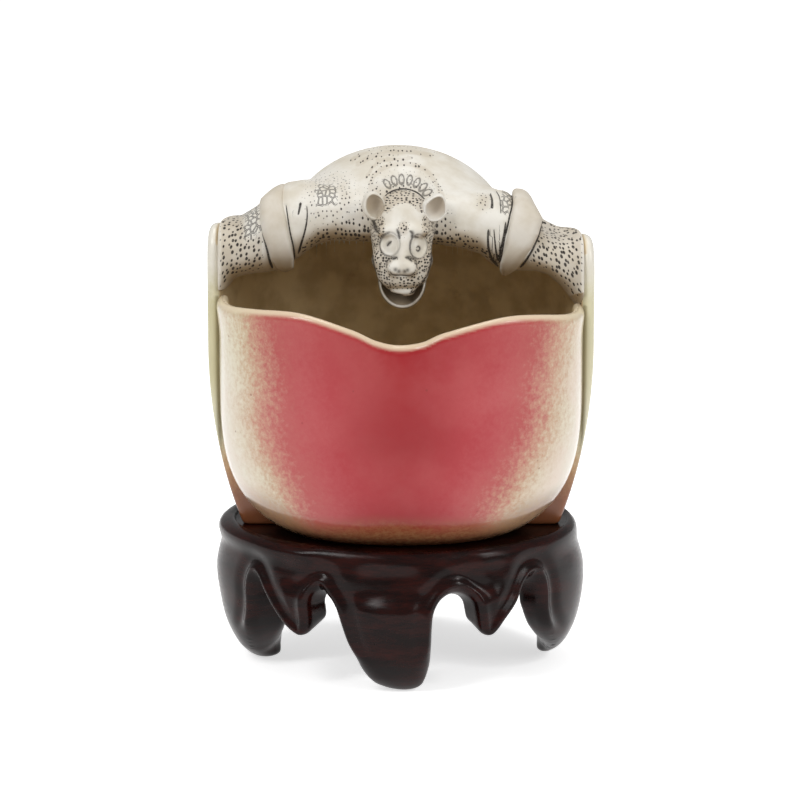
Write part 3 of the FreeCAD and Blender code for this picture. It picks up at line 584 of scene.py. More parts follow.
def band_field(p, band, roll):
    """A rolled band round a limb; its middle and its width follow the height."""
    x, y, z = p.T
    rows = np.array(band)
    middle_y, middle_z, deep, high, outer_edge, inner_edge = roll
    level = z + math.tan(CAMERA_TILT) * (y - middle_y)
    middle, half = (np.interp(level, rows[:, 0], rows[:, k]) for k in (1, 2))
    across = x - middle if middle[0] > 0 else middle - x
    near = np.hypot((y - middle_y) / deep, (z - middle_z) / high)
    band = smooth_max((near - 1.0) * 10.5, across - half, outer_edge)
    return smooth_max(band, -across - half, inner_edge)


# Middle and radii of the body's round forms
VAULT = (0.0, 17.0, 92.0), (43.0, 20.5, 21.0)
DOME = (-0.9, 13.0, 104.0), (28.6, 23.5, 24.3)
NECK = (0.4, -4.2, 115.2), (9.2, 5.8, 7.6)
BACK = (0.0, -4.0, 93.8), (49.0, 48.0, 25.8)
BACK_TILT = -0.012
BACK_FRONT_Y = 5.0
BACK_LOW_Z = 103.0


def vault_field(p):
    return ellipsoid(p, *VAULT)


def body_field(p):
    x, y, z = p.T
    beam = beam_field(p)
    low = np.interp(x, [row[0] for row in BEAM], [row[2] for row in BEAM])
    dome = smooth_min(ellipsoid(p, *DOME), ellipsoid(p, *NECK), 3.0)
    dome = smooth_max(dome, low + 4.0 - z, 3.0)
    back = ellipsoid(p - np.stack([0 * x, 0 * x, BACK_TILT * x], 1), *BACK)
    back = smooth_max(back, BACK_FRONT_Y - y, 2.0)
    back = smooth_max(back, BACK_LOW_Z - z, 1.0)
    body = smooth_min(beam, dome, 3.2)
    body = smooth_min(body, back, 4.0)
    body = smooth_max(body, -vault_field(p), 1.5)
    inside = shell_inner(p)
    body = smooth_max(body, inside - 1.6, 0.3)
    fillet = smooth_min(body, np.maximum(shell_field(p), 96.0 - z), 4.0)
    fillet = smooth_max(fillet, inside - 0.5, 0.5)
    return np.maximum(fillet, -shell_field(p) - 0.2)


# Beast's head
HEAD = [
    # height, distance forward, half width, half depth
    (94.0, 14.6, 3.0, 4.2),
    (97.2, 14.2, 4.2, 5.6),
    (99.5, 13.7, 5.5, 6.8),
    (102.0, 13.0, 6.7, 7.5),
    (105.0, 12.2, 7.1, 7.9),
    (108.0, 11.3, 7.5, 8.0),
    (111.5, 10.6, 7.8, 7.9),
    (115.0, 9.8, 7.3, 7.2),
    (120.0, 9.0, 6.0, 5.6),
]
HEAD_MIDDLE = 0.3
HEAD_TOP_Z = 116.5
HEAD_LOW_Z = 98.3
# Forms added to the head: middle, radii and how softly each blends in
SKULL = (0.3, -9.4, 114.2), (7.1, 7.2, 6.9), 2.5
MUZZLE = (0.3, -15.2, 101.3), (5.7, 5.9, 3.7), 2.0
LIP = (0.5, -17.7, 98.0), (3.1, 2.8, 1.7), 0.9
NOSE_RIDGE = ((1.0, -17.6, 112.2), (0.4, -20.3, 105.4), 1.2, 1.25)
# Forms on both sides: middle between the two, distance of each from it, radii and softness
BROW = (0.6, -16.9, 112.6), 3.5, (2.7, 1.6, 1.3), 1.8
CHEEK = (0.3, -15.0, 105.0), 5.0, (2.4, 3.0, 2.6), 1.6
NOSTRIL = (0.35, -20.6, 103.9), 1.7, (2.0, 1.75, 1.9), 1.1
# Hollow of the mouth, and the scoop of the lower jaw with its hollow and the part of it that is painted with
# shade
GAPE = (0.4, -16.5, 95.2), (4.6, 4.0, 1.9)
JAW = (0.3, -13.2, 99.6), (5.9, 5.2, 7.2)
JAW_HOLLOW = (0.3, -14.4, 100.2), (5.2, 5.6, 6.6)
JAW_SHADED = (0.3, -14.4, 100.2), (5.45, 5.9, 6.85)
JAW_FRONT_Y = -15.0
JAW_TOP_Z = 103.0
HEAD_CELL = (0.68, 0.72)
# Middle and half sizes of the eyes, as seen
EYES = {"left": ((-2.55, 38.9), (2.25, 2.65)), "right": ((4.6, 38.3), (1.95, 2.7))}


def head_field(p):
    x, y, z = p.T
    rows = np.array(HEAD)
    ahead, wide, deep = (np.interp(z, rows[:, 0], rows[:, k]) for k in (1, 2, 3))
    face = (np.hypot((x - HEAD_MIDDLE) / wide, (y + ahead) / deep) - 1.0) * np.minimum(wide, deep) * 0.95
    face = smooth_max(face, z - HEAD_TOP_Z, 5.0)
    head = smooth_max(face, HEAD_LOW_Z - z, 3.0)
    for middle, radii, soft in (SKULL, MUZZLE, LIP):
        head = smooth_min(head, ellipsoid(p, middle, radii), soft)
    head = smooth_min(head, capsule(p, *NOSE_RIDGE), 1.6)
    for side in (-1.0, 1.0):
        for (across, forward, level), apart, radii, soft in (BROW, CHEEK, NOSTRIL):
            head = smooth_min(head, ellipsoid(p, (across + side * apart, forward, level), radii), soft)
    head = smooth_max(head, -ellipsoid(p, *GAPE), 0.8)
    for ear in EARS.values():
        head = smooth_max(head, -ear_hollow(ear, p), 0.35)
    return head


def jaw_field(p):
    jaw = smooth_max(ellipsoid(p, *JAW), -ellipsoid(p, *JAW_HOLLOW), 0.5)
    jaw = smooth_max(jaw, JAW_FRONT_Y - p[:, 1], 0.7)
    return smooth_max(jaw, p[:, 2] - JAW_TOP_Z, 1.0)


# Middle of the mouth, half sizes, turn, how pointed the top is, and where the stub starts on the head
EARS = {
    "left": {
        "at": (-6.55, -12.9, 117.9), "size": (2.95, 3.7), "turn": turned(6.0, -16.0, 12.0), "point": 0.12,
        "root": (-5.0, -9.4, 116.0),
    },
    "right": {
        "at": (8.35, -12.9, 117.5), "size": (3.2, 3.7), "turn": turned(6.0, 24.0, 4.0), "point": 0.5,
        "root": (5.9, -9.4, 115.8),
    },
}
EAR_RIM = 0.75


def in_ear(ear, p):
    """Places in an ear's own axes, drawn in sideways towards its point."""
    q = (p - np.asarray(ear["at"])) @ ear["turn"]
    narrowing = 1.0 + ear["point"] * np.clip(q[:, 2] / ear["size"][1], 0.0, 1.0)
    return q * np.stack([narrowing, np.ones(len(q)), np.ones(len(q))], 1)


def ear_hollow(ear, p, grown=0.0):
    """Hollow of an ear's cup, from the mouth inwards."""
    wide, high = ear["size"]
    radii = wide - EAR_RIM + grown, 2.0 + grown, high - EAR_RIM + grown
    return ellipsoid(in_ear(ear, p), (0.15, -0.5, 0.15), radii)


def ear_field(ear):
    """A thin cup with its mouth towards the viewer, and the stub that carries it."""
    wide, high = ear["size"]
    stub_end = np.asarray(ear["at"]) + ear["turn"] @ np.array((0.0, 2.4, -0.6))

    def field(p):
        q = in_ear(ear, p)
        outer = ellipsoid(q, (0.0, 0.6, 0.0), (wide, 3.2, high))
        stub = capsule(p, stub_end, ear["root"], 1.7, 2.2)
        cup = smooth_min(outer, stub, 1.0)
        cup = smooth_max(cup, -ear_hollow(ear, p), 0.35)
        return smooth_max(cup, -0.75 - q[:, 1] + 0.08 * q[:, 2], 0.45)

    return field


# Marks engraved into the clay, a few of them partly painted shade, placed as seen in the photograph in
# millimetres from its middle
def seen(*pixels):
    """Photograph's pixels as millimetres right of and above its middle."""
    return [((x - 400.0) / 4.0, (400.0 - y) / 4.0) for x, y in pixels]


# Half width at a stroke's start and at its end in millimetres, then its course
BODY_STROKES = [
    # Along the left ring's edge where it overhangs the arm: an engraved line, partly painted shadow in the
    # gap under the ring.
    (0.16, 0.34, seen((260, 206), (261, 222), (263, 235), (266.5, 248), (269.5, 260), (273, 269.5))),
    (0.15, 0.22, seen((285.5, 204), (288.3, 222), (290.5, 235), (293.5, 247), (295.5, 261))),
    (0.34, 0.20, seen((300.5, 202), (299.5, 208), (298, 215))),
    (0.26, 0.36, seen((488.5, 229), (488, 243), (489, 252), (492, 260), (498, 267))),
    (0.22, 0.55, seen((506, 222), (504.6, 234), (502.2, 247), (498.4, 264))),
    (0.12, 0.30, seen((494, 229), (494.8, 240), (496, 252), (498, 262))),
    (0.20, 0.30, seen((542, 222), (539, 235), (533, 249), (526.5, 260), (520, 268.5))),
    (0.12, 0.10, seen((496.5, 190), (500, 198), (501.2, 214))),
    (0.26, 0.26, seen((384, 197.5), (391, 191.5), (403, 188.6), (416, 191.8), (425, 199.5))),
]
OTHER_STROKES = [
    (0.13, 0.30, seen((306.5, 205), (307, 215), (306.2, 224), (304, 235), (301.5, 244), (298.5, 255))),
    (0.20, 0.34, seen((490.5, 193), (492.3, 200), (492.2, 208.5))),
    (0.18, 0.22, seen((511, 191.5), (513, 198), (512.3, 206), (510.3, 214), (508.6, 222), (505.5, 236))),
    (0.30, 0.30, seen((386, 200.5), (393, 196), (401.5, 194.4), (412, 196), (422, 203))),
]
# Rows of small dots: half width of the row and its course
DOTTED_ROWS = [
    (0.55, seen((352, 160), (362, 153), (376, 148), (396, 145.8), (420, 147), (436, 150.5), (452, 157))),
    (0.75, seen((358, 164), (372, 156.5), (390, 152.5), (410, 151.5), (430, 155))),
    (0.55, seen((377, 160.5), (390, 159.6), (402, 159.6), (411, 157.8))),
    (0.65, seen(
        (370, 188), (373, 177), (382, 169), (395, 164.2), (408, 163.6), (420, 167.5), (429, 173), (433, 179),
        (438, 187), (443, 196),
    )),
    (0.45, seen((366, 178), (374, 166), (388, 158))),
]
# Petals over the collar: degrees round it, their middles and half sizes
PETAL_TURNS = (-36, -19, -3, 14, 31, 48, 64)
PETALS = [seen((403 + 27 * math.sin(a), 203 - 23.5 * math.cos(a)))[0] for a in np.radians(PETAL_TURNS)]
PETAL_HALF = (0.64, 1.25)
COLLAR_MIDDLE = (0.9, 45.3)
COLLAR_RADIUS = 6.9
# Spacing of the dots round a limb and along it
BODY_CELL = (1.30, 1.08)
# Height of the dotted field over the body's lower edge, across the picture
DOTS_ACROSS = (-25.0, -18.0, -11.0, -7.0, 7.0, 10.0, 14.0, 19.0, 23.0)
DOTS_REACH = (3.5, 7.0, 10.0, 16.0, 16.0, 11.5, 7.5, 5.5, 5.0)
# Patches of sparse dots, of close dots and of bubble cells: middle and half sizes
SPARSE_PATCHES = [(-17.5, 50.5, 6.5, 6.5), (21.0, 49.5, 1.9, 2.6)]
CLOSE_PATCHES = [(-8.2, 41.5, 2.4, 4.4), (9.4, 41.2, 2.0, 4.2)]
CELL_PATCHES = [(-18.2, 51.0, 2.9, 3.0), (26.6, 49.8, 1.5, 3.2)]


def patches(u, v, rows):
    """1 inside soft-edged patches of the picture, 0 outside."""
    return np.maximum.reduce([
        np.exp(-(((u - middle_u) / half_u) ** 4) - (((v - middle_v) / half_v) ** 4))
        for middle_u, middle_v, half_u, half_v in rows
    ])


def dots_of_body(flat, p):
    """Size of the stippled dots over the body and limbs as a share of their spacing."""
    u, v = flat.T
    low = np.interp(p[:, 0], [row[0] for row in BEAM], [row[2] for row in BEAM])
    edge = p[:, 2] - low
    reach = np.interp(u, DOTS_ACROSS, DOTS_REACH)
    field = step_up(edge, 0.9, 1.7) * (1.0 - step_up(edge - reach, -2.5, 1.5))
    dots = field * (0.20 + 0.10 * (1.0 - step_up(edge, 2.0, 7.0))) * (np.abs(u + 0.5) < 24.0)
    round_head = np.exp(-((np.hypot(u - 0.8, v - 45.0) / 12.0) ** 6))
    dots = np.maximum(dots, 0.19 * np.maximum(round_head, patches(u, v, SPARSE_PATCHES)))
    dots = np.maximum(dots, 0.31 * patches(u, v, CLOSE_PATCHES) * step_up(edge, 0.2, 0.8))
    limb = step_up(np.abs(u + 0.9), 33.0, 34.0) * (1.0 - step_up(np.abs(u - 0.3), 44.6, 45.6))
    bare = np.where(u < 0, 1.6, 2.6)
    dots = np.maximum(dots, limb * 0.27 * step_up(edge - bare, -0.6, 0.8))
    for half, points in DOTTED_ROWS:
        away = line_distance(flat, smooth_curve(points, 40))[0]
        dots = np.maximum(dots, 0.19 * (1.0 - step_up(away, half * 0.6, half * 1.5)))
    return dots * (1.0 - cells_of_body(flat)) * step_up(-p[:, 1], -16.0, -8.0)


def cells_of_body(flat):
    """Where the bubble-like cells are drawn, 0 to 1."""
    u, v = flat.T
    slanted = patches(u, v - 0.5 * (u + 37.0), [(-36.6, 45.0, 2.6, 4.8)])
    return np.clip(slanted + patches(u, v, CELL_PATCHES), 0.0, 1.0)


# Low corner, high corner and step of the grid that each piece is worked out on
GRIDS = {
    "panel": ((-48.0, -43.0, 34.0), (48.0, -1.0, 98.0), 0.6),
    "shell": ((-50.0, -8.0, 34.0), (50.0, 43.0, 113.5), 0.6),
    "stand": ((-49.0, -44.0, -1.5), (49.0, 44.0, 38.5), 0.55),
    "body": ((-50.0, -14.0, 84.0), (50.0, 41.0, 131.0), 0.45),
    "head": ((-10.0, -25.0, 94.0), (11.0, 0.0, 124.0), 0.22),
    "jaw": ((-8.0, -20.0, 91.0), (8.5, -6.0, 104.0), 0.22),
}


def make_body(material):
    points, quads = sculpted(body_field, *GRIDS["body"])
    flat = as_seen(points)
    front = step_up(-points[:, 1], -16.0, -9.0)
    line_a, half_a = stroked(flat, BODY_STROKES)
    line_b, half_b = stroked(flat, OTHER_STROKES)
    loops = np.full(len(points), 3.0)
    for middle, turn in zip(PETALS, np.radians(PETAL_TURNS)):
        du, dv = (flat - middle).T
        across = du * math.cos(turn) - dv * math.sin(turn)
        along = du * math.sin(turn) + dv * math.cos(turn)
        loop = (np.hypot(across / PETAL_HALF[0], along / PETAL_HALF[1]) - 1.0) * PETAL_HALF[0]
        loops = np.minimum(loops, loop)
    normals = normals_of(body_field, points)
    raised = np.exp(-(((length(flat - COLLAR_MIDDLE) - COLLAR_RADIUS) / 0.55) ** 2))
    raised *= step_up(flat[:, 1], 49.0, 50.5) * front
    lines = ((line_a, half_a), (line_b, half_b))
    sunk = np.maximum.reduce([np.exp(-((line / 0.5) ** 2)) * (half > 0) for line, half in lines])
    petal = 1.0 - step_up(loops, -0.5, 0.1)
    beam = np.array(BEAM)
    middle_z = np.interp(points[:, 0], beam[:, 0], (beam[:, 1] + beam[:, 2]) / 2)
    middle_y = np.interp(points[:, 0], beam[:, 0], beam[:, 3])
    angle = np.arctan2(points[:, 2] - middle_z, middle_y - points[:, 1])
    skin = wrapped(angle, 9.0, points[:, 0], BODY_CELL)
    points = points + normals * (0.35 * raised + 0.3 * petal * front - 0.3 * sunk * front)[:, None]
    return piece(
        "beast_body_skin", points, quads, "coupe", "biscuit", material,
        replaces=(
            "beast_body", "beast_back", "left_arm", "right_arm", "left_fold", "right_fold", "collar_band",
            "collar_beads",
        ),
        line_a=line_a, half_a=half_a * front, line_b=line_b, half_b=half_b * front,
        loops=loops + 3.0 * (1.0 - front),
        dots=dots_of_body(flat, points), cells=cells_of_body(flat) * front, skin=skin,
        # Darker clay on the surfaces that face downwards: painted shade under the body, partly real staining.
        stain=step_up(-normals[:, 2], -0.05, 0.75), ink=np.zeros(len(points)),
    )


def plain_layers(count):
    """Layers of a piece of the beast on which nothing is drawn."""
    zero = np.zeros(count)
    return {
        "line_a": zero + 3.0, "half_a": zero, "line_b": zero + 3.0, "half_b": zero, "loops": zero + 3.0,
        "dots": zero, "cells": zero, "skin": np.zeros((count, 3)),
    }


def make_ring(side, ring, roll, material):
    def field(p):
        return smooth_max(band_field(p, ring, roll), -vault_field(p), 1.0)

    middle = sum(row[1] for row in ring) / len(ring)
    points, quads = sculpted(field, (middle - 9.0, -12.5, 95.0), (middle + 9.0, 16.0, 123.0), 0.4)
    normals = normals_of(field, points)
    return piece(
        f"{side}_ring_roll", points, quads, "coupe", "biscuit", material, replaces=(f"{side}_ring",),
        # A light even tint of darker clay over the ring, with painted shade that deepens it on the surfaces
        # facing downwards.
        ink=np.zeros(len(points)), stain=0.25 + 0.75 * step_up(-normals[:, 2], 0.0, 0.9),
        **plain_layers(len(points)),
    )


# Strokes of the face: weight and course; a stroke of weight 1 is as wide as the line
FACE_LINE = 0.24
FACE_STROKES = [
    (0.8, seen((380.5, 252), (380, 244), (384, 236), (390, 233))),
    (1.5, seen((397, 229), (398.5, 234), (399.5, 239))),
    (1.2, seen((405, 229), (406.5, 230))),
    (0.9, seen((410.5, 252), (410.5, 244), (412.5, 238), (417, 236.6))),
    (1.7, seen((410, 231), (412.5, 233.5), (412, 239))),
    (1.2, seen((414, 236.5), (419, 238))),
    (1.3, seen((392, 259), (396.5, 257.6))),
    (1.6, seen((405.5, 257.5), (409, 258), (412, 261))),
    (1.4, seen((372.5, 222), (375, 229), (378, 233))),
    (0.8, seen((386, 268), (387.5, 261), (392, 257.6), (396.5, 257.2), (397.5, 259.5))),
    (0.8, seen((417, 268), (416.5, 261.5), (413, 257.8), (408, 256.6), (406.6, 259.2))),
    (0.9, seen((389.5, 271.5), (393, 275.2), (402, 275.6), (410, 276), (415.5, 272))),
    (1.3, seen((377.5, 279), (382, 285), (388, 291.5), (396, 294.5), (403, 295.5))),
    (1.3, seen((426, 277), (422, 284), (416, 290.5), (410, 294))),
    # These two run down both sides of the head: painted shade along its outline, partly engraved line.
    (1.3, seen((370.5, 240), (371.5, 252), (373, 262), (374.5, 270), (377, 278))),
    (1.3, seen((433.5, 238), (432.8, 250), (431.5, 262), (429.5, 270), (427, 277))),
    (1.4, seen((371.5, 219), (374.5, 224), (377, 229))),
]
PUPIL_LINE = 0.26
PUPIL_STROKES = [
    (1.5, seen((386.6, 246), (388.5, 243.6), (391, 241.6))),
    (1.0, seen((416.6, 249.5), (418.6, 251), (420.4, 248.6), (418.6, 246.4), (416.8, 248))),
]
NOSTRIL_HOLES = seen((395.6, 269.8), (399.0, 271.6), (404.6, 271.8), (407.4, 270.4))


def make_head(material):
    points, quads = sculpted(head_field, *GRIDS["head"])
    flat = as_seen(points)
    u, v = flat.T
    front = step_up(-points[:, 1], 6.0, 10.0)
    ink = engraved(flat, FACE_STROKES, FACE_LINE) * front
    shift = np.zeros(len(points))
    for (mid_u, mid_v), (wide, high) in EYES.values():
        rim = np.hypot((u - mid_u) / wide, (v - mid_v) / high)
        shift += front * (0.14 * np.exp(-(((rim - 1.02) / 0.13) ** 2)) - 0.32 * step_up(-rim, -0.98, -0.78))
        shift += front * 0.26 * np.clip(1.0 - (rim / 0.62) ** 2, 0.0, 1.0)
        outline = np.exp(-(((rim - 1.12) / 0.09) ** 2)) * (0.55 + 0.45 * (u < mid_u))
        ink = np.maximum(ink, 0.8 * front * outline)
    ink = np.maximum(ink, engraved(flat, PUPIL_STROKES, PUPIL_LINE) * front)
    nostrils = np.maximum.reduce([np.exp(-((length(flat - hole) / 0.5) ** 2)) for hole in NOSTRIL_HOLES])
    ink = np.maximum(ink, 0.85 * nostrils * front)
    normals = normals_of(head_field, points)
    points = points + normals * (shift - 0.16 * ink)[:, None]
    cheeks = step_up(np.abs(u - 0.8), 4.0, 5.4) * step_up(-v, -48.0, -44.5)
    below_eyes = step_up(np.abs(u - 0.4), 1.6, 3.0) * step_up(-v, -37.2, -35.6)
    chin = step_up(-v, -31.3, -30.4) * step_up(v, 27.2, 28.2)
    crown = step_up(length(flat - COLLAR_MIDDLE), 3.3, 4.4) * step_up(v, 46.2, 47.4) * 0.72
    brow = np.exp(-((np.hypot(u - 0.9, (v - 43.0) * 0.7) / 1.5) ** 4)) * 0.7
    dots = np.maximum.reduce([0.85 * cheeks, 0.85 * below_eyes, 0.78 * chin, crown, brow])
    nose = np.exp(-((np.hypot((u - 0.5) / 3.7, (v - 33.0) / 2.2)) ** 8))
    eyes = sum(
        np.exp(-(np.hypot((u - middle[0]) / (half[0] + 0.35), (v - middle[1]) / (half[1] + 0.35)) ** 10))
        for middle, half in EYES.values()
    )
    dots = dots * (1.0 - nose) * (1.0 - np.clip(eyes, 0.0, 1.0))
    hollow = sum(step_up(-ear_hollow(ear, points, 0.35), 0.0, 0.3) for ear in EARS.values())
    hollow = np.clip(hollow, 0.0, 1.0)
    angle = np.arctan2(points[:, 0] - HEAD_MIDDLE, -6.0 - points[:, 1])
    skin = wrapped(angle, 12.0, points[:, 2], HEAD_CELL)
    skin[:, :2] = np.where(v[:, None] > 46.0, flat / (0.95, 0.62), skin[:, :2])
    return piece(
        "beast_head_skin", points, quads, "coupe", "biscuit", material,
        replaces=("head", "nose", "left_eye", "right_eye"),
        # Darker clay on the surfaces facing downwards and in the ear hollows: painted shade, partly real
        # staining.
        ink=ink * (1.0 - hollow), stain=np.maximum(0.8 * step_up(-normals[:, 2], 0.0, 0.8), 0.6 * hollow),
        **(plain_layers(len(points)) | {"dots": 0.40 * dots * (1.0 - hollow), "skin": skin}),
    )


def make_jaw(material):
    points, quads = sculpted(jaw_field, *GRIDS["jaw"])
    normals = normals_of(jaw_field, points)
    inside = step_up(-ellipsoid(points, *JAW_SHADED), 0.0, 0.3)
    outside = step_up(normals[:, 1], -0.8, -0.35)
    return piece(
        "lower_jaw_scoop", points, quads, "coupe", "biscuit", material, replaces=("lower_jaw",),
        # Inside the scoop: painted shade, darkest deeper into the mouth. Outside: a dark outline where it
        # turns away from the front. Surfaces facing downwards: painted shade.
        ink=np.maximum(0.45 * inside * step_up(points[:, 1], -14.5, -11.0), 0.75 * (1.0 - inside) * outside),
        stain=np.maximum(inside, 0.6 * step_up(-normals[:, 2], 0.0, 0.8)),
        **plain_layers(len(points)),
    )


def make_ear(side, material):
    ear = EARS[side]
    field = ear_field(ear)
    at = np.asarray(ear["at"])
    points, quads = sculpted(field, at - 6.5, at + 6.5, 0.2)
    q = (points - at) @ ear["turn"]
    inside = step_up(-ear_hollow(ear, points, 0.35), 0.0, 0.4)
    return piece(
        f"{side}_ear_cup", points, quads, "coupe", "biscuit", material, replaces=(f"{side}_ear",),
        ink=np.zeros(len(points)), stain=0.75 * inside * step_up(q[:, 1] + 0.25 * q[:, 2], -1.2, 1.6),
        # Darker clay deeper inside the cup and towards its top: painted shade in the ear's hollow, partly the
        # tan of its inside.
        **plain_layers(len(points)),
    )


# Materials
def srgb(r, g, b):
    """Linear colour from the 0 to 255 values of a picture."""
    out = [(c / 255 / 12.92) if c <= 10.31475 else ((c / 255 + 0.055) / 1.055) ** 2.4 for c in (r, g, b)]
    return (*out, 1.0)


# Colours as they show in the photograph
BISCUIT = srgb(225, 221, 212)
BISCUIT_GREY = srgb(206, 198, 182)
BISCUIT_SOILED = srgb(168, 150, 124)
# Brownish clay, partly real staining and partly painted shade under the beast, in the ear cups and inside the
# jaw.
CLAY_STAIN_AND_SHADE = srgb(146, 121, 86)
# Dark of the engraved lines and dots, also used for painted shade inside the jaw and along a few strokes.
INK_AND_SHADE = srgb(40, 34, 29)
# Peach glaze from its edge at the side inwards
BLUSH = (
    (0.00, srgb(230, 222, 204)), (0.10, srgb(220, 208, 184)), (0.18, srgb(205, 180, 152)),
    (0.25, srgb(196, 146, 124)), (0.31, srgb(188, 116, 104)), (0.38, srgb(182, 84, 82)),
    (0.50, srgb(180, 70, 74)), (0.65, srgb(174, 54, 60)), (1.00, srgb(160, 36, 42)),
)
BLUSH_MOTTLE = srgb(206, 120, 116)
BLUSH_DEEP = srgb(150, 24, 30)
TOP_TINT = srgb(243, 246, 232)
BELLY_TANS = srgb(128, 84, 54), srgb(150, 112, 74)
SPECK = srgb(120, 40, 38)
PANEL_CLAYS = srgb(214, 192, 150), srgb(190, 167, 126)
PANEL_RIM = srgb(222, 206, 176)
GREENS = srgb(206, 198, 160), srgb(190, 182, 138)
GREEN_RIGHT = srgb(216, 211, 180)
GREEN_LOW = srgb(222, 216, 190)
SHELL_PALE = srgb(226, 221, 208)
SHELL_WARM = srgb(190, 156, 110)
SHELL_FOOT = srgb(132, 80, 50)
BACK_BLUSHES = srgb(176, 66, 70), srgb(190, 92, 92)
SHELL_CLAYS = srgb(212, 190, 148), srgb(188, 165, 124)
CLAY_SPOTS = srgb(132, 106, 70)
SEAM = srgb(96, 84, 44)
WOODS = srgb(18, 5, 4), srgb(46, 14, 10)
WOOD_PORES = srgb(14, 5, 4)
PAPER = srgb(250, 250, 250)
# How much the floor glows to the camera and in reflections, and the strength of the even light
FLOOR_GLOW = 0.62
WORLD_LIGHT = 0.42


class Nodes:
    """Short calls that add and join shader nodes."""

    def __init__(self, name):
        self.material = bpy.data.materials.new(name)
        self.material.use_nodes = True
        self.tree = self.material.node_tree
        self.shader = self.tree.nodes["Principled BSDF"]

    def add(self, kind, **settings):
        node = self.tree.nodes.new("ShaderNode" + kind)
        for key, value in settings.items():
            setattr(node, key, value)
        return node

    def join(self, source, target):
        self.tree.links.new(source, target)

    def put(self, socket, value):
        if isinstance(value, bpy.types.NodeSocket):
            self.join(value, socket)
        else:
            socket.default_value = value

    def place(self):
        return self.add("TexCoord").outputs["Object"]

    def layer(self, name):
        return self.add("Attribute", attribute_name=name).outputs["Fac"]

    def math(self, operation, a, b=0.0, clamp=False):
        node = self.add("Math", operation=operation, use_clamp=clamp)
        self.put(node.inputs[0], a)
        self.put(node.inputs[1], b)
        return node.outputs[0]

    def mix(self, share, a, b, blend="MIX"):
        node = self.add("Mix", data_type="RGBA", blend_type=blend, clamp_factor=True)
        self.put(node.inputs[0], share)
        self.put(node.inputs[6], a)
        self.put(node.inputs[7], b)
        return node.outputs[2]

    def remap(self, value, low, high, to_low=0.0, to_high=1.0, smooth=True):
        node = self.add("MapRange", interpolation_type="SMOOTHSTEP" if smooth else "LINEAR", clamp=True)
        self.put(node.inputs[0], value)
        for k, number in enumerate((low, high, to_low, to_high), 1):
            self.put(node.inputs[k], number)
        return node.outputs[0]

    def ramp(self, share, stops):
        node = self.add("ValToRGB")
        self.put(node.inputs[0], share)
        marks = node.color_ramp.elements
        for k, (place, colour) in enumerate(stops):
            mark = marks[k] if k < 2 else marks.new(place)
            mark.position, mark.color = place, colour
        return node.outputs[0]

    def noise(self, scale, detail=3.0, rough=0.5, vector=None, distortion=0.0):
        node = self.add("TexNoise", noise_dimensions="3D")
        self.put(node.inputs["Vector"], vector or self.place())
        node.inputs["Scale"].default_value = scale
        node.inputs["Detail"].default_value = detail
        node.inputs["Roughness"].default_value = rough
        node.inputs["Distortion"].default_value = distortion
        return node.outputs["Fac"]

    def cells(self, scale, vector=None, randomness=1.0, **settings):
        node = self.add("TexVoronoi", **settings)
        self.put(node.inputs["Vector"], vector or self.place())
        node.inputs["Scale"].default_value = scale
        node.inputs["Randomness"].default_value = randomness
        return node.outputs

    def split(self):
        node = self.add("SeparateXYZ")
        self.join(self.place(), node.inputs[0])
        return node.outputs

    def bump(self, height, strength, distance):
        node = self.add("Bump")
        node.inputs["Strength"].default_value = strength
        node.inputs["Distance"].default_value = distance
        self.put(node.inputs["Height"], height)
        self.join(node.outputs["Normal"], self.shader.inputs["Normal"])
        return node

    def finish(self, colour, roughness, **fixed):
        self.put(self.shader.inputs["Base Color"], colour)
        self.put(self.shader.inputs["Roughness"], roughness)
        for key, value in fixed.items():
            self.shader.inputs[key.replace("_", " ")].default_value = value
        return self.material


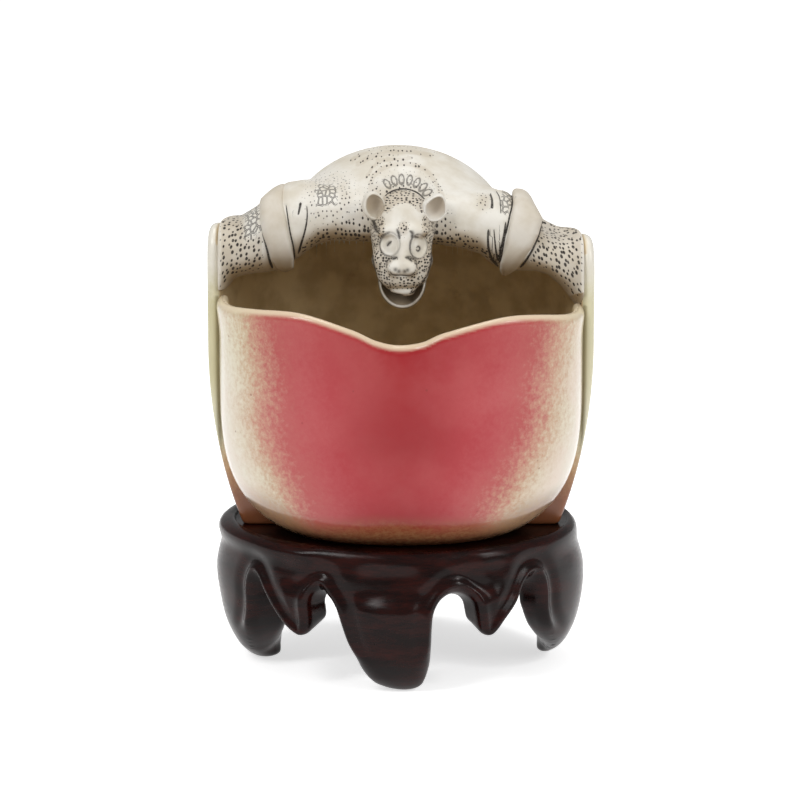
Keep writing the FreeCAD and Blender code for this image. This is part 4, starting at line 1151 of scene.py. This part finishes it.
def biscuit_clay():
    """Bare cream clay with stippled dots, drawn cells and engraved lines rubbed with dark pigment, and
    painted shade under the beast, in its hollows and along a few strokes.
    """
    n = Nodes("biscuit_clay")
    warm = n.noise(90.0, 4.0, 0.6)
    base = n.mix(n.remap(warm, 0.35, 0.7), BISCUIT, BISCUIT_GREY)
    base = n.mix(n.math("MULTIPLY", n.remap(n.layer("dots"), 0.06, 0.30), 0.42), base, BISCUIT_SOILED)
    # Darker brownish clay where the layer asks for it: painted shade under the beast, in the ear cups and
    # inside the jaw, partly real staining.
    base = n.mix(n.math("MULTIPLY", n.layer("stain"), 0.85), base, CLAY_STAIN_AND_SHADE)
    skin = n.add("Attribute", attribute_name="skin").outputs["Vector"]
    spots = n.cells(1.0, skin, 0.75, voronoi_dimensions="2D")
    chance = n.add("SeparateColor")
    n.join(spots["Color"], chance.inputs[0])
    vary = n.remap(chance.outputs[0], 0.0, 1.0, 0.62, 1.25, smooth=False)
    present = n.math("GREATER_THAN", chance.outputs[1], 0.10)
    radius = n.math("MULTIPLY", n.math("MULTIPLY", n.layer("dots"), vary), present)
    dot = n.remap(n.math("SUBTRACT", radius, spots["Distance"]), -0.045, 0.045)
    dot = n.math("MULTIPLY", dot, n.remap(n.layer("dots"), 0.02, 0.06))
    bubbles = n.cells(0.85, skin, voronoi_dimensions="2D", feature="DISTANCE_TO_EDGE")["Distance"]
    wall = n.remap(n.math("ABSOLUTE", n.math("SUBTRACT", bubbles, 0.09)), 0.075, 0.025)
    torn = n.math("MULTIPLY", n.math("SUBTRACT", n.noise(420.0, 2.0), 0.5), 1.6)
    wall = n.math("MULTIPLY", wall, n.remap(n.math("ADD", n.layer("cells"), torn), 0.35, 0.6))
    ink = n.math("MAXIMUM", n.layer("ink"), n.math("MAXIMUM", dot, wall))
    for line, half in (("line_a", "half_a"), ("line_b", "half_b")):
        off = n.math("SUBTRACT", n.layer(half), n.math("ABSOLUTE", n.layer(line)))
        drawn = n.math("MULTIPLY", n.remap(off, -0.06, 0.06), n.remap(n.layer(half), 0.03, 0.08))
        ink = n.math("MAXIMUM", ink, drawn)
    loop = n.remap(n.math("ABSOLUTE", n.layer("loops")), 0.22, 0.08)
    ink = n.math("MAXIMUM", ink, n.math("MULTIPLY", loop, 0.7))
    grain = n.noise(2600.0, 2.0)
    # Dark of the engraved lines, dots and cells, plus the painted shade inside the jaw and along a few
    # strokes, made patchy by fine noise.
    patchy_ink_and_shade = n.math("MULTIPLY", ink, n.remap(grain, 0.3, 0.6, 0.82, 1.0), clamp=True)
    colour = n.mix(patchy_ink_and_shade, base, INK_AND_SHADE)
    height = n.math("SUBTRACT", n.math("MULTIPLY", n.noise(900.0, 3.0), 0.25), ink)
    n.bump(height, 0.6, 0.00022)
    return n.finish(colour, n.remap(warm, 0.3, 0.7, 0.48, 0.62), Specular_IOR_Level=0.3)


def peach_glaze():
    """Glossy famille-rose glaze: red blush fading to cream at the sides, tan under the belly."""
    n = Nodes("peach_glaze")
    x, y, z = n.split()
    mottle = n.noise(55.0, 4.0, 0.6)
    fine = n.noise(750.0, 4.0, 0.75)
    wander = n.math("MULTIPLY", n.math("SUBTRACT", mottle, 0.5), 0.006)
    place = n.math("ADD", x, wander)
    left = n.math("ADD", n.remap(z, 0.040, 0.070, -0.0222, -0.0304), n.remap(z, 0.068, 0.092, 0.0, -0.0030))
    right = n.math("ADD", n.remap(z, 0.040, 0.070, 0.0198, 0.0312), n.remap(z, 0.068, 0.092, 0.0, 0.0038))
    inward = n.math("MINIMUM", n.math("SUBTRACT", place, left), n.math("SUBTRACT", right, place))
    inward = n.math("ADD", inward, n.math("MULTIPLY", n.math("SUBTRACT", fine, 0.5), 0.016))
    colour = n.ramp(n.remap(inward, -0.014, 0.030, smooth=False), BLUSH)
    colour = n.mix(n.remap(mottle, 0.35, 0.65, 0.0, 0.16), colour, BLUSH_MOTTLE)
    # Deeper red patch in the middle of the blush, stronger above and below its middle band; low on the belly
    # it is partly painted shade where the belly turns under.
    patch = n.math("MULTIPLY", n.remap(x, -0.020, -0.002), n.remap(x, 0.018, 0.002))
    patch = n.math("MULTIPLY", patch, n.remap(z, 0.088, 0.066))
    paler = n.remap(n.math("ABSOLUTE", n.math("SUBTRACT", z, 0.054)), 0.002, 0.011, 0.25, 0.75)
    colour = n.mix(n.math("MULTIPLY", patch, paler), colour, BLUSH_DEEP)
    tinted = n.mix(1.0, colour, TOP_TINT, "MULTIPLY")
    colour = n.mix(n.remap(z, 0.072, 0.094, 0.0, 0.55), colour, tinted)
    aside = n.remap(n.math("ABSOLUTE", x), 0.020, 0.036, 0.0, -0.0050)
    low = n.math("ADD", n.math("ADD", z, aside), n.math("MULTIPLY", wander, 0.8))
    tan = n.math("MULTIPLY", n.remap(low, 0.0465, 0.0385), 0.85)
    colour = n.mix(tan, colour, n.mix(n.remap(fine, 0.35, 0.65), *BELLY_TANS))
    specks = n.remap(n.cells(330.0)["Distance"], 0.13, 0.06)
    rare = n.remap(n.noise(120.0, 1.0), 0.58, 0.66)
    colour = n.mix(n.math("MULTIPLY", n.math("MULTIPLY", specks, rare), 0.5), colour, SPECK)
    inner = n.layer("inner")
    clay = n.mix(n.remap(n.noise(160.0, 4.0), 0.35, 0.7), *PANEL_CLAYS)
    colour = n.mix(inner, colour, clay)
    colour = n.mix(n.math("MULTIPLY", n.layer("rim"), 0.85), colour, PANEL_RIM)
    n.bump(n.noise(210.0, 3.0), 0.10, 0.0003)
    roughness = n.mix(inner, (0.14, 0.14, 0.14, 1), (0.75, 0.75, 0.75, 1))
    return n.finish(colour, roughness, Specular_IOR_Level=0.3)


def shell_glaze():
    """Bare cream clay at the top, pale yellow-green glaze below, burnt orange-brown towards the foot."""
    n = Nodes("shell_glaze")
    x, y, z = n.split()
    mottle = n.noise(70.0, 4.0, 0.6)
    fine = n.noise(700.0, 4.0, 0.7)
    wander = n.math("MULTIPLY", n.math("SUBTRACT", mottle, 0.5), 0.012)
    height = n.math("ADD", n.math("ADD", z, wander), n.math("MULTIPLY", n.math("SUBTRACT", fine, 0.5), 0.008))
    green = n.mix(n.remap(n.noise(30.0, 2.0), 0.4, 0.65), *GREENS)
    green = n.mix(n.math("MULTIPLY", n.remap(x, 0.030, 0.045), 0.7), green, GREEN_RIGHT)
    green = n.mix(n.math("MULTIPLY", n.remap(z, 0.074, 0.064), 0.6), green, GREEN_LOW)
    pale = n.mix(n.remap(height, 0.090, 0.106), green, SHELL_PALE)
    warm = n.mix(n.remap(height, 0.049, 0.059), SHELL_WARM, pale)
    foot = n.mix(n.remap(height, 0.041, 0.057), SHELL_FOOT, warm)
    behind = n.math("MULTIPLY", n.remap(y, 0.006, 0.030), n.remap(height, 0.046, 0.064))
    middle = n.math("MULTIPLY", n.remap(x, -0.036, -0.014), n.remap(x, 0.036, 0.014))
    blush = n.math("MULTIPLY", n.math("MULTIPLY", behind, middle), 0.85)
    colour = n.mix(blush, foot, n.mix(n.remap(mottle, 0.35, 0.65), *BACK_BLUSHES))
    clay = n.mix(n.remap(n.noise(160.0, 4.0), 0.35, 0.7), *SHELL_CLAYS)
    stains = n.math("MULTIPLY", n.remap(n.noise(75.0, 5.0, 0.65), 0.60, 0.74), 0.55)
    clay = n.mix(stains, clay, CLAY_SPOTS)
    inner = n.layer("inner")
    colour = n.mix(inner, colour, clay)
    colour = n.mix(n.layer("seam"), colour, SEAM)
    n.bump(n.noise(260.0, 3.0), 0.12, 0.0003)
    roughness = n.mix(inner, (0.24, 0.24, 0.24, 1), (0.75, 0.75, 0.75, 1))
    return n.finish(colour, roughness, Specular_IOR_Level=0.45)


def polished_wood():
    """Dark red-brown hardwood, waxed, with grain that runs round the block."""
    n = Nodes("polished_wood")
    stretch = n.add("Mapping")
    n.join(n.place(), stretch.inputs["Vector"])
    stretch.inputs["Scale"].default_value = (1.0, 1.0, 5.0)
    grain = n.noise(70.0, 6.0, 0.65, stretch.outputs["Vector"], 0.4)
    fine = n.noise(420.0, 4.0, 0.6, stretch.outputs["Vector"])
    dark = n.mix(n.remap(grain, 0.38, 0.66), *WOODS)
    colour = n.mix(n.math("MULTIPLY", n.remap(fine, 0.35, 0.75), 0.6), dark, WOOD_PORES)
    n.bump(n.math("ADD", grain, n.math("MULTIPLY", fine, 0.4)), 0.08, 0.0003)
    roughness = n.remap(fine, 0.3, 0.7, 0.16, 0.27)
    return n.finish(colour, roughness, Specular_IOR_Level=0.15)


def floor_paper():
    """White paper that looks white to the camera and in reflections, and keeps the shadow."""
    n = Nodes("floor_paper")
    n.finish(PAPER, 0.9, Specular_IOR_Level=0.0)
    path = n.add("LightPath")
    seen_ray = n.math("MAXIMUM", path.outputs["Is Camera Ray"], path.outputs["Is Glossy Ray"])
    seen_ray = n.math("MAXIMUM", seen_ray, path.outputs["Is Transmission Ray"])
    n.shader.inputs["Emission Color"].default_value = (1.0, 1.0, 1.0, 1.0)
    n.join(n.math("MULTIPLY", seen_ray, FLOOR_GLOW), n.shader.inputs["Emission Strength"])
    return n.material


# Stage: each lamp's name, place, aim, size and power
LAMPS = [
    ("key", (-0.45, -0.55, 0.75), (0, 0, 0.07), (0.22, 0.30), 2.4),
    ("fill", (0.60, -0.45, 0.45), (0, 0, 0.07), (0.30, 0.45), 1.7),
    ("left_glint", (-0.62, -0.52, 0.56), (0, 0, 0.03), (0.10, 0.14), 1.0),
    ("right_glint", (0.58, -0.40, 0.60), (0, 0, 0.03), (0.10, 0.14), 0.6),
    ("top", (0.0, 0.15, 0.90), (0, 0, 0.07), (0.34, 0.34), 2.1),
]


def area_light(name, at, aim, size, power):
    data = bpy.data.lights.new(name, "AREA")
    data.shape = "RECTANGLE"
    data.size, data.size_y = size
    data.energy = power
    obj = bpy.data.objects.new(name, data)
    bpy.context.scene.collection.objects.link(obj)
    obj.location = at
    obj.rotation_euler = (Vector(aim) - Vector(at)).to_track_quat("-Z", "Y").to_euler()


def make_stage():
    size = 3.0
    corners = [(-size, -size, 0.0), (size, -size, 0.0), (size, size, 0.0), (-size, size, 0.0)]
    mesh = bpy.data.meshes.new("floor")
    mesh.from_pydata(corners, [], [(0, 1, 2, 3)])
    floor = bpy.data.objects.new("floor", mesh)
    bpy.context.scene.collection.objects.link(floor)
    mesh.materials.append(floor_paper())
    world = bpy.data.worlds.new("studio")
    bpy.context.scene.world = world
    world.use_nodes = True
    background = world.node_tree.nodes["Background"]
    background.inputs["Color"].default_value = (1.0, 1.0, 1.0, 1.0)
    background.inputs["Strength"].default_value = WORLD_LIGHT
    for lamp in LAMPS:
        area_light(*lamp)


def make_camera():
    data = bpy.data.cameras.new("camera")
    data.lens = CAMERA_LENS
    data.sensor_width = 36.0
    data.sensor_fit = "HORIZONTAL"
    camera = bpy.data.objects.new("camera", data)
    bpy.context.scene.collection.objects.link(camera)
    aim = Vector(AIM) * MM
    away = Vector((0.0, -math.cos(CAMERA_TILT), math.sin(CAMERA_TILT))) * CAMERA_REACH * MM
    camera.location = aim + away
    camera.rotation_euler = (math.pi / 2 - CAMERA_TILT, 0.0, 0.0)
    bpy.context.scene.camera = camera


# Coupe walls and stand as pieces
def make_panel(material):
    points, quads = sculpted(panel_field, *GRIDS["panel"])
    inner = step_up(-panel_form(points, PANEL_WALL - 0.9, BOWL_LIFT), -0.25, 0.25)
    inner = inner * (points[:, 2] > FLOOR_Z - 1.0)
    rim = step_up(points[:, 2] - rim_line(points[:, 0]), -1.6, -0.5)
    return piece(
        "front_panel_wall", points, quads, "coupe", "peach_glaze", material, replaces=("front_panel",),
        inner=inner, rim=rim,
    )


def make_shell(material):
    points, quads = sculpted(shell_field, *GRIDS["shell"])
    inner = step_up(-(shell_inner(points) - 1.0), -0.4, 0.4) * (points[:, 1] > JOINT_Y + 1.2)
    inner = inner * (points[:, 2] > FLOOR_Z - 1.0)
    near_joint = np.hypot(np.abs(points[:, 0]) - 45.2, points[:, 1] - JOINT_Y)
    seam = np.exp(-((near_joint / 0.7) ** 2)) * (points[:, 2] < rim_line(points[:, 0]))
    return piece(
        "rear_shell_wall", points, quads, "coupe", "pale_glaze", material,
        replaces=("rear_shell", "floor_slab"), inner=inner, seam=seam,
    )


def make_stand(material):
    points, quads = sculpted(make_stand_field(), *GRIDS["stand"])
    return piece("carved_stand", points, quads, "stand", "dark_wood", material, replaces=("stand",))


make_camera()
make_stage()
clay = biscuit_clay()
make_panel(peach_glaze())
make_shell(shell_glaze())
make_stand(polished_wood())
make_body(clay)
make_ring("left", LEFT_RING, LEFT_ROLL, clay)
make_ring("right", RIGHT_RING, RIGHT_ROLL, clay)
make_head(clay)
make_jaw(clay)
for ear_side in EARS:
    make_ear(ear_side, clay)
bpy.context.scene.view_settings.view_transform = "Standard"
